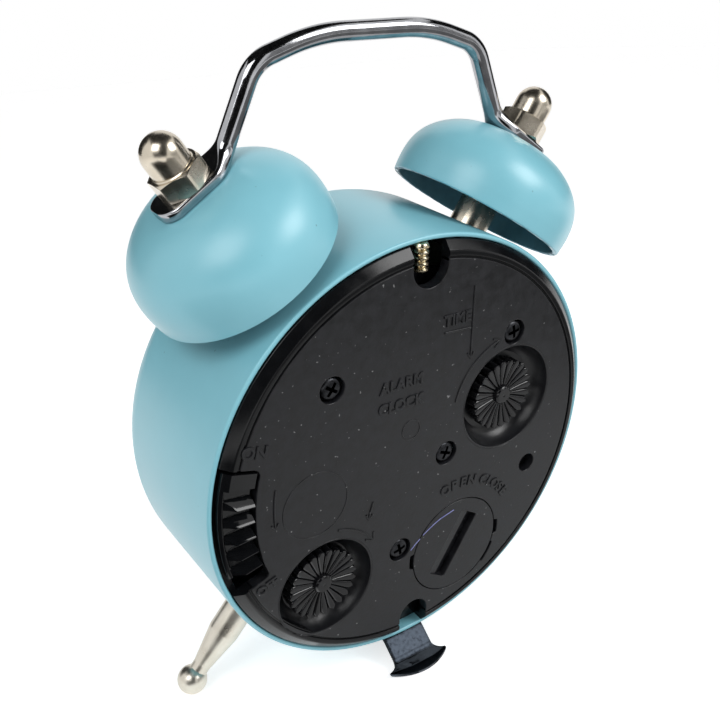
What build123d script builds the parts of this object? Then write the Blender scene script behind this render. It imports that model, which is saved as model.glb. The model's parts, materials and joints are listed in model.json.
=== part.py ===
from build123d import *

import math
import os

# Twin bell alarm clock with a small quartz alarm movement, in millimetres.
# Every piece is drawn with the clock upright: X to the right seen from the dial, Z up,
# the case axis along Y. Depth is counted from the rear edge of the case towards the dial.
# At the end all pieces are leaned back together onto the two ball feet and the rear stand.

# Fits
cut_overrun = 1.0
press_gap = 0.02
running_gap = 0.05
assembly_gap = 0.1
seat_gap = 0.15

# Case
case_radius = 28.0
case_wall = 0.6
case_depth = 24.2
case_front_round = 5.0

# Spokes: the bell posts and the legs stand on the case at one depth
spoke_depth_share = 0.4628
bell_angle = 33.9
leg_angle = 140.0
thread_radius = 1.45
thread_hole_gap = 0.15
hex_across_flats = 5.5
stud_nut_height = 2.2
stud_tail = 0.6

# Bells
bell_radius = 11.9
bell_rim_step = 0.5
bell_bulge_height = 2.2
bell_height = 10.0
bell_crown_radius = 3.4
bell_wall = 0.7
bell_lift = 2.05
bell_haunch_radius_share = 0.758
bell_haunch_height_share = 0.758
spacer_radius = 2.5

# Handle: bent rod with flattened ends under the acorn nuts
handle_rod_radius = 1.1
paddle_width = 5.4
paddle_thickness = 1.2
paddle_outer_reach = 4.3
paddle_inner_reach = 3.4
paddle_end_radius = 2.0
paddle_edge_radius = 0.35
handle_neck_run = 2.75
handle_neck_rise = 1.05
handle_shoulder_run = 3.3
handle_shoulder_rise = 7.6
handle_arch_rise = 2.4
handle_shoulder_radius = 3.0
handle_arch_corner_share = 0.5
handle_arch_ease_share = 0.78

# Acorn nuts
acorn_hex_height = 2.35
acorn_dome_radius = 2.33
acorn_neck_height = 1.7
acorn_bore_depth = 4.2
acorn_chamfer_angle = 30.0

# Legs
leg_radius = 2.05
leg_barrel = 5.5
leg_taper = 5.1
leg_neck_radius = 1.2
leg_ball_radius = 1.95
leg_ball_reach = 13.0

# Rear stand
stand_width = 6.2
stand_foot_width = 9.4
stand_thickness = 0.8
stand_start_depth = 11.0
stand_bend_depth = 1.5
stand_bend_radius = 1.6
stand_slope = 21.2
stand_reach = 6.33
stand_foot_length = 1.7
stand_flare_length = 1.8
stand_corner_radius = 1.4
stand_screw_depth = 8.0
stand_screw_radius = 1.2
stand_screw_head_radius = 2.1
stand_screw_head_height = 1.0
stand_screw_tail = 0.4
stand_nut_flats = 4.5
stand_nut_height = 1.6

# Back plate
plate_bevel = 1.1
plate_bevel_drop = 0.9
plate_proud = 0.95
plate_sheet = 1.5
plate_skirt_depth = 3.2
plate_skirt_wall = 1.0
plate_groove_step = 0.6
plate_groove_width = 0.3
plate_groove_depth = 0.2
notch_radius = 2.5
notch_depth = 4.0
lower_notch_radius = 2.2
lower_notch_place_share = -0.015
sound_hole_place_shares = (-0.71, -0.267)
sound_hole_radius_share = 0.0464
well_depth = 2.4
well_floor_step = 1.6
well_wall_bow = 0.45
well_rim_radius = 0.25
well_boss_wall = 0.2
well_floor_wall = 0.8

# Plate screws, placed on the face radius of the plate
screw_place_shares = [(0.492, 0.500), (-0.527, 0.515), (-0.1565, -0.023), (0.0916, -0.485)]
screw_head_radius = 1.5
screw_head_height = 0.75
screw_sink = 0.1
screw_shank_radius = 0.8
screw_length = 3.3
screw_boss_radius_share = 0.0536
screw_cross_length = 1.9
screw_cross_width = 0.4
screw_cross_depth = 0.5

# Case screw in the upper notch
case_screw_x = 0.75
case_screw_radius = 0.95
case_screw_length = 3.4
case_screw_depth = 0.2
case_screw_grooves = 5
case_screw_groove_depth = 0.18

# Knobs, placed on the face radius of the plate
time_knob_place_shares = (-0.519, 0.1718)
time_well_radius_share = 0.25
alarm_knob_place_shares = (0.5115, -0.519)
alarm_well_radius_share = 0.2321
knob_radius_share = 0.1696
knob_sink = 0.65
knob_petals = 24
knob_petal_height = 0.65
knob_petal_inner_radius_share = 0.0464
knob_petal_share = 0.84
knob_boss_radius_share = 0.0446
knob_boss_rise = 0.2
knob_cap_share = 0.016071
knob_floor_gap = 0.25
knob_shaft_radius = 1.0
knob_shaft_tail = 0.2

# Alarm switch
switch_slot_first_angle = 74.5
switch_slot_last_angle = 111.5
switch_span_angle = 30.0
switch_end_gap_angle = 0.9
switch_slot_width_share = 0.125
switch_slot_gap = 0.3
switch_rib_count = 5
switch_rib_angle = 2.6
switch_rib_pitch_angle = 5.1
switch_rib_offset_angle = 3.2
switch_rib_rise = 0.5
switch_rib_inset = 0.4
switch_pad_angle = 4.4
switch_base_sink = 0.75
switch_rim_gap = 0.45
switch_base_gap = 0.2
switch_flange = 1.4
switch_flange_thickness = 0.6
switch_peg_radius = 0.6
switch_peg_gap = 0.7

# Battery lid, placed on the face radius of the plate, and button cell
lid_place_shares = (-0.2595, -0.5973)
lid_radius_share = 0.2446
lid_sheet = 1.2
lid_plug_radius_share = 0.2036
lid_lug_reach = 0.45
lid_lug_angle = 24.0
lid_lug_height = 0.5
lid_entry_angle = 30.0
lid_turn_angle = 50.0
coin_slot_length_share = 0.3429
coin_slot_width = 2.0
coin_slot_depth = 1.05
coin_slot_angle = 121.0
cell_radius_share = 0.2071
cell_height = 5.4
cell_gap = 0.25
cell_cup_wall = 0.7
cell_lip_radius_share = 0.1643
cell_lip_height = 0.4
contact_sheet = 0.2
contact_width = 3.0
contact_angle = 40.0

# Movement plates
movement_gap = 2.05
movement_sheet = 1.2
movement_edge_gap_share = 0.1179
movement_front_step_share = 0.0536
layer_pitch = 1.0
layer_gap = 0.35
gear_thickness = 0.65
middle_sheet = 0.6
middle_edge_share = 0.0536
pillar_radius = 1.0
rear_pillar_shares = [(-0.239, -0.196), (0.326, -0.065), (0.530, 0.2435)]
front_pillar_shares = [(-0.674, 0.5435), (0.800, 0.3650), (0.152, -0.848), (-0.848, -0.065)]
front_bush_wall = 0.9
front_bush_share = 0.489

# Arbors and tubes
arbor_radius = 0.35
wheel_arbor_radius = 0.45
rotor_arbor_radius = 0.25
stud_radius = 0.45
tube_wall = 0.4
shaft_end_gap = 0.1

# Gear trains
time_gear_teeth = 24
minute_wheel_teeth = 30
cannon_teeth = 10
minute_pinion_teeth = 8
hour_wheel_teeth = 32
alarm_gear_teeth = 16
alarm_idler_teeth = 40
alarm_wheel_teeth = 24
rotor_pinion_teeth = 6
intermediate_teeth = 60
intermediate_pinion_teeth = 10
second_wheel_teeth = 30
second_pinion_teeth = 8
third_wheel_teeth = 60
third_pinion_teeth = 8
centre_wheel_teeth = 64
rotor_module_share = 0.006429
second_module_share = 0.012143
third_module_share = 0.007857
intermediate_direction = 45.0
rotor_direction = 60.0
third_direction = 110.0
tooth_tip_share = 0.7
tooth_root_share = 1.15
tooth_tip_width_share = 0.20
tooth_root_width_share = 0.50

# Motor and electronics
rotor_magnet_radius = 1.4
rotor_magnet_height = 1.3
stator_hole_gap = 0.4
stator_sheet = 0.6
stator_half_height_share = 0.0786
stator_half_width_share = 0.2143
stator_leg_width_share = 0.0786
stator_leg_rise_share = 0.2357
core_height_share = 0.0714
coil_radius = 2.2
coil_length_share = 0.25
board_place_shares = (0.761, -0.0435)
board_width_share = 0.25
board_height_share = 0.4286
board_sheet = 0.8
chip_radius = 1.8
chip_height = 0.8
chip_rise_share = 0.1
crystal_radius = 0.75
crystal_length_share = 0.1607
crystal_drop_share = 0.1857
alarm_contact_overlap = 1.7
alarm_contact_width = 1.8
buzzer_radius_share = 0.1571
buzzer_height = 1.9

# Dial, lens and hands
lens_setback = 2.0
lens_edge = 1.0
lens_crown = 0.5
dial_ring_height = 4.0
dial_ring_width = 2.4
dial_ring_gap = 0.25
dial_edge_gap = 1.0
dial_sheet = 0.4
dial_hole_gap = 0.3
dial_support_edge_gap = 1.0
dial_support_wall = 1.5
hand_sheet = 0.25
hand_pitch = 0.7
hand_first_gap = 0.5
hand_hub_wall = 0.9
tube_end_rise = 0.06
hour_hand_length = 11.0
minute_hand_length = 17.0
second_hand_length = 18.5
alarm_hand_length = 9.0
hour_hand_width = 2.0
minute_hand_width = 1.6
second_hand_width = 0.7
alarm_hand_width = 1.0
hand_tail = 2.6
second_hand_tail = 5.0
hand_tip_share = 0.35
hour_hand_angle = 304.0
minute_hand_angle = 48.0
second_hand_angle = 216.0
alarm_hand_angle = 210.0

# Sizes that follow the case, from their shares of it
time_well_radius = time_well_radius_share * case_radius
alarm_well_radius = alarm_well_radius_share * case_radius
knob_radius = knob_radius_share * case_radius
knob_petal_inner_radius = knob_petal_inner_radius_share * case_radius
knob_boss_radius = knob_boss_radius_share * case_radius
knob_cap = knob_cap_share * case_radius
lid_radius = lid_radius_share * case_radius
lid_plug_radius = lid_plug_radius_share * case_radius
coin_slot_length = coin_slot_length_share * case_radius
cell_radius = cell_radius_share * case_radius
cell_lip_radius = cell_lip_radius_share * case_radius
buzzer_radius = buzzer_radius_share * case_radius
board_width = board_width_share * case_radius
board_height = board_height_share * case_radius
stator_half_width = stator_half_width_share * case_radius
stator_half_height = stator_half_height_share * case_radius
stator_leg_width = stator_leg_width_share * case_radius
stator_leg_rise = stator_leg_rise_share * case_radius
core_height = core_height_share * case_radius
coil_length = coil_length_share * case_radius
rotor_module = rotor_module_share * case_radius
second_module = second_module_share * case_radius
third_module = third_module_share * case_radius
chip_rise = chip_rise_share * case_radius
crystal_drop = crystal_drop_share * case_radius
crystal_length = crystal_length_share * case_radius
movement_edge_gap = movement_edge_gap_share * case_radius
movement_front_step = movement_front_step_share * case_radius
sound_hole_radius = sound_hole_radius_share * case_radius
switch_slot_width = switch_slot_width_share * case_radius
middle_edge = middle_edge_share * case_radius
screw_boss_radius = screw_boss_radius_share * case_radius
spoke_depth = spoke_depth_share * case_depth

# Derived sizes of the case and its spokes
case_inner_radius = case_radius - case_wall
case_inner_round = case_front_round - case_wall
case_opening_radius = case_radius - case_front_round
case_straight_depth = case_depth - case_front_round
thread_hole_radius = thread_radius + thread_hole_gap
nut_bore_radius = thread_radius + press_gap
hex_corner_radius = hex_across_flats / math.sqrt(3)
stud_nut_seat = math.sqrt(case_inner_radius**2 - hex_corner_radius**2)
stud_inner_end = stud_nut_seat - stud_nut_height - stud_tail
bell_rim_reach = case_radius + bell_lift
bell_crown_reach = bell_rim_reach + bell_height
paddle_top_reach = bell_crown_reach + paddle_thickness
acorn_hex_end = paddle_top_reach + acorn_hex_height
acorn_dome_start = acorn_hex_end + acorn_neck_height
acorn_bore_end = paddle_top_reach + acorn_bore_depth
leg_ball_distance = case_radius + leg_ball_reach
leg_neck_end = leg_ball_distance - math.sqrt(leg_ball_radius**2 - leg_neck_radius**2)

# Derived sizes of the back plate and what sits in it
plate_face = -plate_proud
plate_inner_face = plate_face + plate_sheet
plate_radius = case_inner_radius - assembly_gap
plate_face_radius = plate_radius - plate_bevel
plate_skirt_inner_radius = plate_radius - plate_skirt_wall
plate_groove_radius = plate_face_radius - plate_groove_step
plate_full_depth = plate_skirt_depth - plate_face
well_floor = plate_face + well_depth
well_boss_end = well_floor + well_floor_wall
knob_top = plate_face + knob_sink
knob_groove = knob_top + knob_petal_height
knob_bottom = well_floor - knob_floor_gap
switch_slot_radius = plate_face_radius - switch_slot_width
switch_inner_radius = switch_slot_radius + switch_slot_gap
switch_outer_radius = plate_skirt_inner_radius - switch_base_gap
switch_pad_radius = case_inner_radius - switch_rim_gap
switch_rib_radius = plate_face_radius - switch_rib_inset
switch_rib_top = plate_face - switch_rib_rise
switch_flange_radius = switch_inner_radius - switch_flange
switch_flange_depth = plate_inner_face + assembly_gap
switch_flange_end = switch_flange_depth + switch_flange_thickness
switch_rest_angle = switch_slot_first_angle + switch_end_gap_angle + switch_span_angle / 2
lid_hole_radius = lid_radius + assembly_gap
lid_lug_radius = lid_hole_radius + lid_lug_reach
lid_lug_depth = plate_inner_face + running_gap
lid_bottom = lid_lug_depth + lid_lug_height
cell_start = lid_bottom + cell_gap
cell_end = cell_start + cell_height
cup_radius = cell_radius + cell_gap
cup_outer_radius = cup_radius + cell_cup_wall
cup_start = lid_bottom + seat_gap
cup_floor = cell_end + contact_sheet
cup_end = cup_floor + cell_cup_wall

# Derived layers of the movement
movement_depth = plate_inner_face + movement_gap
movement_radius = plate_skirt_inner_radius - movement_edge_gap
movement_front_radius = movement_radius - movement_front_step
rear_plate_front = movement_depth + movement_sheet
rear_layers = [rear_plate_front + layer_gap + i * layer_pitch for i in range(3)]
middle_plate_depth = rear_layers[2] + gear_thickness + layer_gap
middle_plate_front = middle_plate_depth + middle_sheet
front_layers = [middle_plate_front + layer_gap + i * layer_pitch for i in range(4)]
front_plate_depth = front_layers[3] + gear_thickness + layer_gap
front_plate_front = front_plate_depth + movement_sheet
board_front = rear_plate_front + board_sheet
switch_peg_reach = movement_radius + switch_peg_gap + switch_peg_radius
lens_depth = case_depth - lens_setback
lens_front = lens_depth + lens_edge
dial_front = lens_depth - dial_ring_height
dial_depth = dial_front - dial_sheet
front_bush_length = front_bush_share * (dial_depth - front_plate_front)
hand_depths = [dial_front + hand_first_gap + i * hand_pitch for i in range(4)]

# Derived radii of the tubes on the centre line, each running on the one inside it
cannon_bore = arbor_radius + running_gap
cannon_radius = cannon_bore + tube_wall
hour_bore = cannon_radius + running_gap
hour_radius = hour_bore + tube_wall
alarm_bore = hour_radius + running_gap
alarm_radius = alarm_bore + tube_wall
alarm_bearing_radius = alarm_radius + running_gap

pieces = {}


def placed(shares, size):
    """Point in the face of the clock from its shares of a size."""
    return (shares[0] * size, shares[1] * size)


def polar(distance, angle, start=(0, 0)):
    """Point at a distance from another, angle anticlockwise from X as the dial is seen."""
    turn = math.radians(angle)
    return (start[0] + distance * math.cos(turn), start[1] + distance * math.sin(turn))


def clock_point(distance, angle):
    """Point at a distance from the case axis, angle clockwise from the top as the dial is seen."""
    return polar(distance, 90 - angle)


def direction(start, end):
    return math.degrees(math.atan2(end[1] - start[1], end[0] - start[0]))


def at_depth(depth):
    """Plane across the case axis: local x is X, local y is Z, extrusions run to the dial."""
    return Plane.XZ.offset(depth)


def turning_plane(place=(0, 0)):
    """Plane for turned profiles: local x is the radius, local y is the depth."""
    return Plane(origin=(place[0], 0, place[1]), x_dir=(1, 0, 0), z_dir=(0, 0, -1))


def turning_axis(place=(0, 0)):
    return Axis((place[0], 0, place[1]), (0, -1, 0))


def clock_plane(depth, angle):
    """Plane across the case axis with its local y at an angle clockwise from the top."""
    turn = math.radians(angle)
    return Plane(origin=(0, -depth, 0), x_dir=(math.cos(turn), 0, -math.sin(turn)), z_dir=(0, -1, 0))


def spoke_plane(angle):
    """Plane through one spoke, its local y running outwards along it."""
    return clock_plane(spoke_depth, angle)


def spoke_axis(angle):
    plane = spoke_plane(angle)
    return Axis(plane.origin, plane.y_dir)


def spoke_section(angle, reach):
    """Plane across a spoke at a distance from the case axis, its normal pointing outwards."""
    plane = spoke_plane(angle)
    return Plane(plane.origin + plane.y_dir * reach, x_dir=plane.x_dir, z_dir=plane.y_dir)


def ring_sector(inner, outer, first_angle, last_angle):
    """Piece of a flat ring between two angles, clockwise from the top as the dial is seen."""
    sweep_angle = first_angle - last_angle
    with BuildSketch() as sector:
        with BuildLine():
            CenterArc((0, 0), inner, 90 - first_angle, sweep_angle)
            CenterArc((0, 0), outer, 90 - first_angle, sweep_angle)
            Line(clock_point(inner, first_angle), clock_point(outer, first_angle))
            Line(clock_point(inner, last_angle), clock_point(outer, last_angle))
        make_face()
    return sector.sketch


time_knob_place = placed(time_knob_place_shares, plate_face_radius)
alarm_knob_place = placed(alarm_knob_place_shares, plate_face_radius)
lid_place = placed(lid_place_shares, plate_face_radius)
sound_hole_place = placed(sound_hole_place_shares, plate_face_radius)
board_place = placed(board_place_shares, movement_radius)
screw_places = [placed(shares, plate_face_radius) for shares in screw_place_shares]
rear_pillars = [placed(shares, movement_radius) for shares in rear_pillar_shares]
front_pillars = [placed(shares, movement_radius) for shares in front_pillar_shares]
wells = [(time_knob_place, time_well_radius), (alarm_knob_place, alarm_well_radius)]
bell_angles = (bell_angle, -bell_angle)
leg_angles = (leg_angle, -leg_angle)

# Case shell: drum with a rounded front edge, open behind, holes for spokes and stand
with BuildPart() as case_shell:
    with BuildSketch(turning_plane()):
        with BuildLine():
            round_centre = (case_opening_radius, case_straight_depth)
            Polyline((case_inner_radius, case_straight_depth), (case_inner_radius, 0), (case_radius, 0))
            Line((case_radius, 0), (case_radius, case_straight_depth))
            CenterArc(round_centre, case_front_round, 0, 90)
            Line((case_opening_radius, case_depth), (case_opening_radius, case_depth - case_wall))
            CenterArc(round_centre, case_inner_round, 0, 90)
        make_face()
    revolve(axis=turning_axis())
    for angle in bell_angles + leg_angles:
        with BuildSketch(spoke_section(angle, case_inner_radius - cut_overrun)):
            Circle(thread_hole_radius)
        extrude(amount=case_wall + 2 * cut_overrun, mode=Mode.SUBTRACT)
    with BuildSketch(Plane.XY.offset(-case_radius - cut_overrun)):
        with Locations((0, -stand_screw_depth)):
            Circle(stand_screw_radius + thread_hole_gap)
    extrude(amount=case_wall + 2 * cut_overrun, mode=Mode.SUBTRACT)
pieces["case_shell"] = case_shell


def dome_outline(radius, rim_height, height):
    with BuildSketch() as outline:
        with BuildLine():
            rim_radius = radius - bell_rim_step
            rise = height - bell_bulge_height
            haunch_height = bell_bulge_height + rise * bell_haunch_height_share
            haunch = (radius * bell_haunch_radius_share, haunch_height)
            bulge = (radius, bell_bulge_height)
            crown = (bell_crown_radius, height)
            Polyline(crown, (0, height), (0, rim_height), (rim_radius, rim_height))
            if rim_height < 0:
                Line((rim_radius, rim_height), (rim_radius, 0))
            Spline((rim_radius, 0), bulge, tangents=[(1, 2), (0, 1)])
            Spline(bulge, haunch, crown, tangents=[(0, 1), (-1, 0)])
        make_face()
    return outline.sketch


def bell(angle):
    """Hollow dome on its spoke, open towards the case."""
    plane = spoke_plane(angle)
    rim_plane = Plane(plane.origin + plane.y_dir * bell_rim_reach, x_dir=plane.x_dir, z_dir=plane.z_dir)
    with BuildPart() as dome:
        with BuildSketch(rim_plane):
            add(dome_outline(bell_radius, 0, bell_height))
        revolve(axis=spoke_axis(angle))
        with BuildSketch(rim_plane):
            add(dome_outline(bell_radius - bell_wall, -cut_overrun, bell_height - bell_wall))
        revolve(axis=spoke_axis(angle), mode=Mode.SUBTRACT)
        with BuildSketch(spoke_section(angle, bell_rim_reach)):
            Circle(thread_hole_radius)
        extrude(amount=bell_height + cut_overrun, mode=Mode.SUBTRACT)
    return dome


pieces["left_bell"] = bell(bell_angle)
pieces["right_bell"] = bell(-bell_angle)

# Bell spacers: bright posts from the case to the inside of each bell crown
with BuildPart() as bell_spacers:
    for angle in bell_angles:
        with BuildSketch(spoke_section(angle, case_radius)):
            Circle(spacer_radius)
            Circle(thread_hole_radius, mode=Mode.SUBTRACT)
        extrude(amount=bell_crown_reach - bell_wall - case_radius)
pieces["bell_spacers"] = bell_spacers

# Bell studs: threaded rods from the nut inside the case into the acorn nut
with BuildPart() as bell_studs:
    for angle in bell_angles:
        with BuildSketch(spoke_section(angle, stud_inner_end)):
            Circle(thread_radius)
        extrude(amount=acorn_bore_end - seat_gap - stud_inner_end)
pieces["bell_studs"] = bell_studs


def stud_nuts(angles):
    """Hexagon nuts on the inside of the case wall, their corners seated on its curve."""
    with BuildPart() as nuts:
        for angle in angles:
            with BuildSketch(spoke_section(angle, stud_nut_seat - stud_nut_height)):
                RegularPolygon(hex_corner_radius, 6)
                Circle(nut_bore_radius, mode=Mode.SUBTRACT)
            extrude(amount=stud_nut_height)
    return nuts


pieces["bell_stud_nuts"] = stud_nuts(bell_angles)
pieces["leg_nuts"] = stud_nuts(leg_angles)

# Acorn nuts: hexagon with chamfered corners, short neck, dome and blind bore
with BuildPart() as acorn_nuts:
    for angle in bell_angles:
        with BuildSketch(spoke_section(angle, paddle_top_reach)):
            RegularPolygon(hex_corner_radius, 6)
        extrude(amount=acorn_hex_height)
    for angle in bell_angles:
        chamfer_start = hex_across_flats / 2
        chamfer_end = hex_corner_radius + cut_overrun
        chamfer_drop = (chamfer_end - chamfer_start) * math.tan(math.radians(acorn_chamfer_angle))
        with BuildSketch(spoke_plane(angle)):
            with BuildLine():
                Polyline(
                    (chamfer_start, acorn_hex_end),
                    (chamfer_end, acorn_hex_end),
                    (chamfer_end, acorn_hex_end - chamfer_drop),
                    close=True,
                )
            make_face()
        revolve(axis=spoke_axis(angle), mode=Mode.SUBTRACT)
        with BuildSketch(spoke_plane(angle)):
            with BuildLine():
                Polyline(
                    (0, acorn_dome_start + acorn_dome_radius),
                    (0, paddle_top_reach),
                    (acorn_dome_radius, paddle_top_reach),
                    (acorn_dome_radius, acorn_dome_start),
                )
                CenterArc((0, acorn_dome_start), acorn_dome_radius, 0, 90)
            make_face()
        revolve(axis=spoke_axis(angle))
        with BuildSketch(spoke_section(angle, paddle_top_reach)):
            Circle(nut_bore_radius)
        extrude(amount=acorn_bore_depth, mode=Mode.SUBTRACT)
pieces["acorn_nuts"] = acorn_nuts

# Handle: flattened ends on the bell crowns, necks drawn into a rod, bent up and over
paddle_side = spoke_plane(bell_angle)
paddle_middle = paddle_side.origin + paddle_side.y_dir * (bell_crown_reach + paddle_thickness / 2)
paddle_end = paddle_middle - paddle_side.x_dir * paddle_inner_reach
rod_start = paddle_end - paddle_side.x_dir * handle_neck_run + paddle_side.y_dir * handle_neck_rise
rod_shoulder = (rod_start.X - handle_shoulder_run, rod_start.Z + handle_shoulder_rise)
rod_arch = (rod_shoulder[0] * handle_arch_corner_share, rod_shoulder[1] + handle_arch_rise)
arch_turn = math.atan2(handle_arch_rise, rod_shoulder[0] - rod_arch[0])
arch_radius = handle_arch_ease_share * rod_arch[0] / math.tan(arch_turn / 2)
with BuildPart() as handle:
    with BuildSketch(spoke_section(bell_angle, bell_crown_reach)) as paddle:
        with Locations(((paddle_outer_reach - paddle_inner_reach) / 2, 0)):
            Rectangle(paddle_outer_reach + paddle_inner_reach, paddle_width)
        fillet(paddle.vertices().sort_by(Axis.X)[-2:], radius=paddle_end_radius)
        Circle(thread_hole_radius, mode=Mode.SUBTRACT)
    extrude(amount=paddle_thickness)
    with BuildSketch(Plane(paddle_end, x_dir=(0, 1, 0), z_dir=-paddle_side.x_dir)):
        RectangleRounded(paddle_width, paddle_thickness, paddle_edge_radius)
    rod_direction = Vector(-handle_shoulder_run, 0, handle_shoulder_rise)
    with BuildSketch(Plane(rod_start, x_dir=(0, 1, 0), z_dir=rod_direction)):
        Circle(handle_rod_radius)
    loft()
    with BuildLine(at_depth(spoke_depth)) as rail:
        FilletPolyline(
            (rod_start.X, rod_start.Z),
            rod_shoulder,
            rod_arch,
            (0, rod_arch[1]),
            radius=[handle_shoulder_radius, arch_radius],
        )
    with BuildSketch(Plane(rod_start, x_dir=(0, 1, 0), z_dir=rod_direction)):
        Circle(handle_rod_radius)
    sweep()
    mirror(about=Plane.YZ)
pieces["handle"] = handle


def leg(angle):
    """Turned leg with a ball foot, screwed through the case wall with its own thread."""
    with BuildPart() as turned:
        with BuildSketch(spoke_plane(angle)):
            with BuildLine():
                Polyline(
                    (0, leg_ball_distance + leg_ball_radius),
                    (0, stud_inner_end),
                    (thread_radius, stud_inner_end),
                    (thread_radius, case_radius),
                    (leg_radius, case_radius),
                    (leg_radius, case_radius + leg_barrel),
                    (leg_neck_radius, case_radius + leg_barrel + leg_taper),
                    (leg_neck_radius, leg_neck_end),
                )
                ThreePointArc(
                    (leg_neck_radius, leg_neck_end),
                    (leg_ball_radius, leg_ball_distance),
                    (0, leg_ball_distance + leg_ball_radius),
                )
            make_face()
        revolve(axis=spoke_axis(angle))
    return turned


pieces["left_leg"] = leg(leg_angle)
pieces["right_leg"] = leg(-leg_angle)

# Rear stand: strip under the case, bent down behind it, with a flared foot
stand_turn = math.radians(stand_slope)
stand_bend_centre = (-stand_bend_depth, -case_radius - stand_thickness - stand_bend_radius)
stand_outer_bend = stand_bend_radius + stand_thickness
stand_run = (stand_reach * math.cos(stand_turn), -stand_reach * math.sin(stand_turn))
stand_upper = polar(stand_outer_bend, 90 - stand_slope, stand_bend_centre)
stand_lower = polar(stand_bend_radius, 90 - stand_slope, stand_bend_centre)
stand_upper_end = (stand_upper[0] + stand_run[0], stand_upper[1] + stand_run[1])
stand_lower_end = (stand_lower[0] + stand_run[0], stand_lower[1] + stand_run[1])
foot_start = stand_upper_end[0] - stand_foot_length
flare_start = foot_start - stand_flare_length
with BuildPart() as rear_stand:
    with BuildSketch(Plane.YZ.offset(-stand_foot_width / 2)):
        with BuildLine():
            Polyline(
                (-stand_bend_depth, -case_radius),
                (-stand_start_depth, -case_radius),
                (-stand_start_depth, -case_radius - stand_thickness),
                (-stand_bend_depth, -case_radius - stand_thickness),
            )
            CenterArc(stand_bend_centre, stand_bend_radius, 90, -stand_slope)
            Polyline(stand_lower, stand_lower_end, stand_upper_end, stand_upper)
            CenterArc(stand_bend_centre, stand_outer_bend, 90, -stand_slope)
        make_face()
    extrude(amount=stand_foot_width)
    with BuildSketch(Plane.XY.offset(stand_lower_end[1] - cut_overrun)) as stand_plan:
        with BuildLine():
            Polyline(
                (stand_foot_width / 2, foot_start),
                (stand_foot_width / 2, stand_upper_end[0]),
                (-stand_foot_width / 2, stand_upper_end[0]),
                (-stand_foot_width / 2, foot_start),
            )
            Polyline(
                (-stand_width / 2, flare_start),
                (-stand_width / 2, -stand_start_depth),
                (stand_width / 2, -stand_start_depth),
                (stand_width / 2, flare_start),
            )
            for side in (1, -1):
                TangentArc(
                    (side * stand_width / 2, flare_start),
                    (side * stand_foot_width / 2, foot_start),
                    tangent=(0, 1),
                )
        make_face()
        corners = stand_plan.vertices().sort_by(Axis.Y)
        fillet(corners[:2] + corners[-2:], radius=stand_corner_radius)
    extrude(amount=2 * cut_overrun - stand_lower_end[1] - case_radius, mode=Mode.INTERSECT)
    with BuildSketch(Plane.XY.offset(-case_radius - stand_thickness - cut_overrun)):
        with Locations((0, -stand_screw_depth)):
            Circle(stand_screw_radius + thread_hole_gap)
    extrude(amount=stand_thickness + 2 * cut_overrun, mode=Mode.SUBTRACT)
pieces["rear_stand"] = rear_stand

# Stand screw and its nut inside the case
stand_nut_corner = stand_nut_flats / math.sqrt(3)
stand_nut_seat = math.sqrt(case_inner_radius**2 - stand_nut_corner**2)
stand_nut_end = stand_nut_seat - stand_nut_height
stand_screw_seat = case_radius + stand_thickness
with BuildPart() as stand_screw:
    with BuildSketch(Plane.XY.offset(-stand_screw_seat - stand_screw_head_height)):
        with Locations((0, -stand_screw_depth)):
            Circle(stand_screw_head_radius)
    extrude(amount=stand_screw_head_height)
    with BuildSketch(Plane.XY.offset(-stand_screw_seat)):
        with Locations((0, -stand_screw_depth)):
            Circle(stand_screw_radius)
    extrude(amount=stand_screw_seat - stand_nut_end + stand_screw_tail)
    with BuildSketch(Plane.XY.offset(-stand_screw_seat - stand_screw_head_height)):
        with Locations((0, -stand_screw_depth)):
            Rectangle(screw_cross_length, screw_cross_width)
            Rectangle(screw_cross_width, screw_cross_length)
    extrude(amount=screw_cross_depth, mode=Mode.SUBTRACT)
pieces["stand_screw"] = stand_screw

with BuildPart() as stand_nut:
    with BuildSketch(Plane.XY.offset(-stand_nut_seat)):
        with Locations((0, -stand_screw_depth)):
            RegularPolygon(stand_nut_corner, 6)
            Circle(stand_screw_radius + press_gap, mode=Mode.SUBTRACT)
    extrude(amount=stand_nut_height)
pieces["stand_nut"] = stand_nut


def notch_outline(x, radius, depth):
    """Round ended notch from the edge of the plate, drawn at its upper side."""
    centre = plate_face_radius - depth + radius
    with BuildSketch() as outline:
        with Locations((x, centre)):
            Circle(radius)
        with Locations((x, (centre + case_radius) / 2)):
            Rectangle(2 * radius, case_radius - centre)
    return outline.sketch


def well_outline(radius):
    """Half section of a knob well, with a hollow curved wall down to a flat floor."""
    floor_radius = radius - well_floor_step
    chord = math.hypot(well_floor_step, well_depth)
    middle = (
        (radius + floor_radius) / 2 + well_wall_bow * well_depth / chord,
        (plate_face + well_floor) / 2 + well_wall_bow * well_floor_step / chord,
    )
    with BuildSketch() as outline:
        with BuildLine():
            Polyline(
                (floor_radius, well_floor),
                (0, well_floor),
                (0, plate_face - cut_overrun),
                (radius, plate_face - cut_overrun),
                (radius, plate_face),
            )
            ThreePointArc((radius, plate_face), middle, (floor_radius, well_floor))
        make_face()
    return outline.sketch


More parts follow.
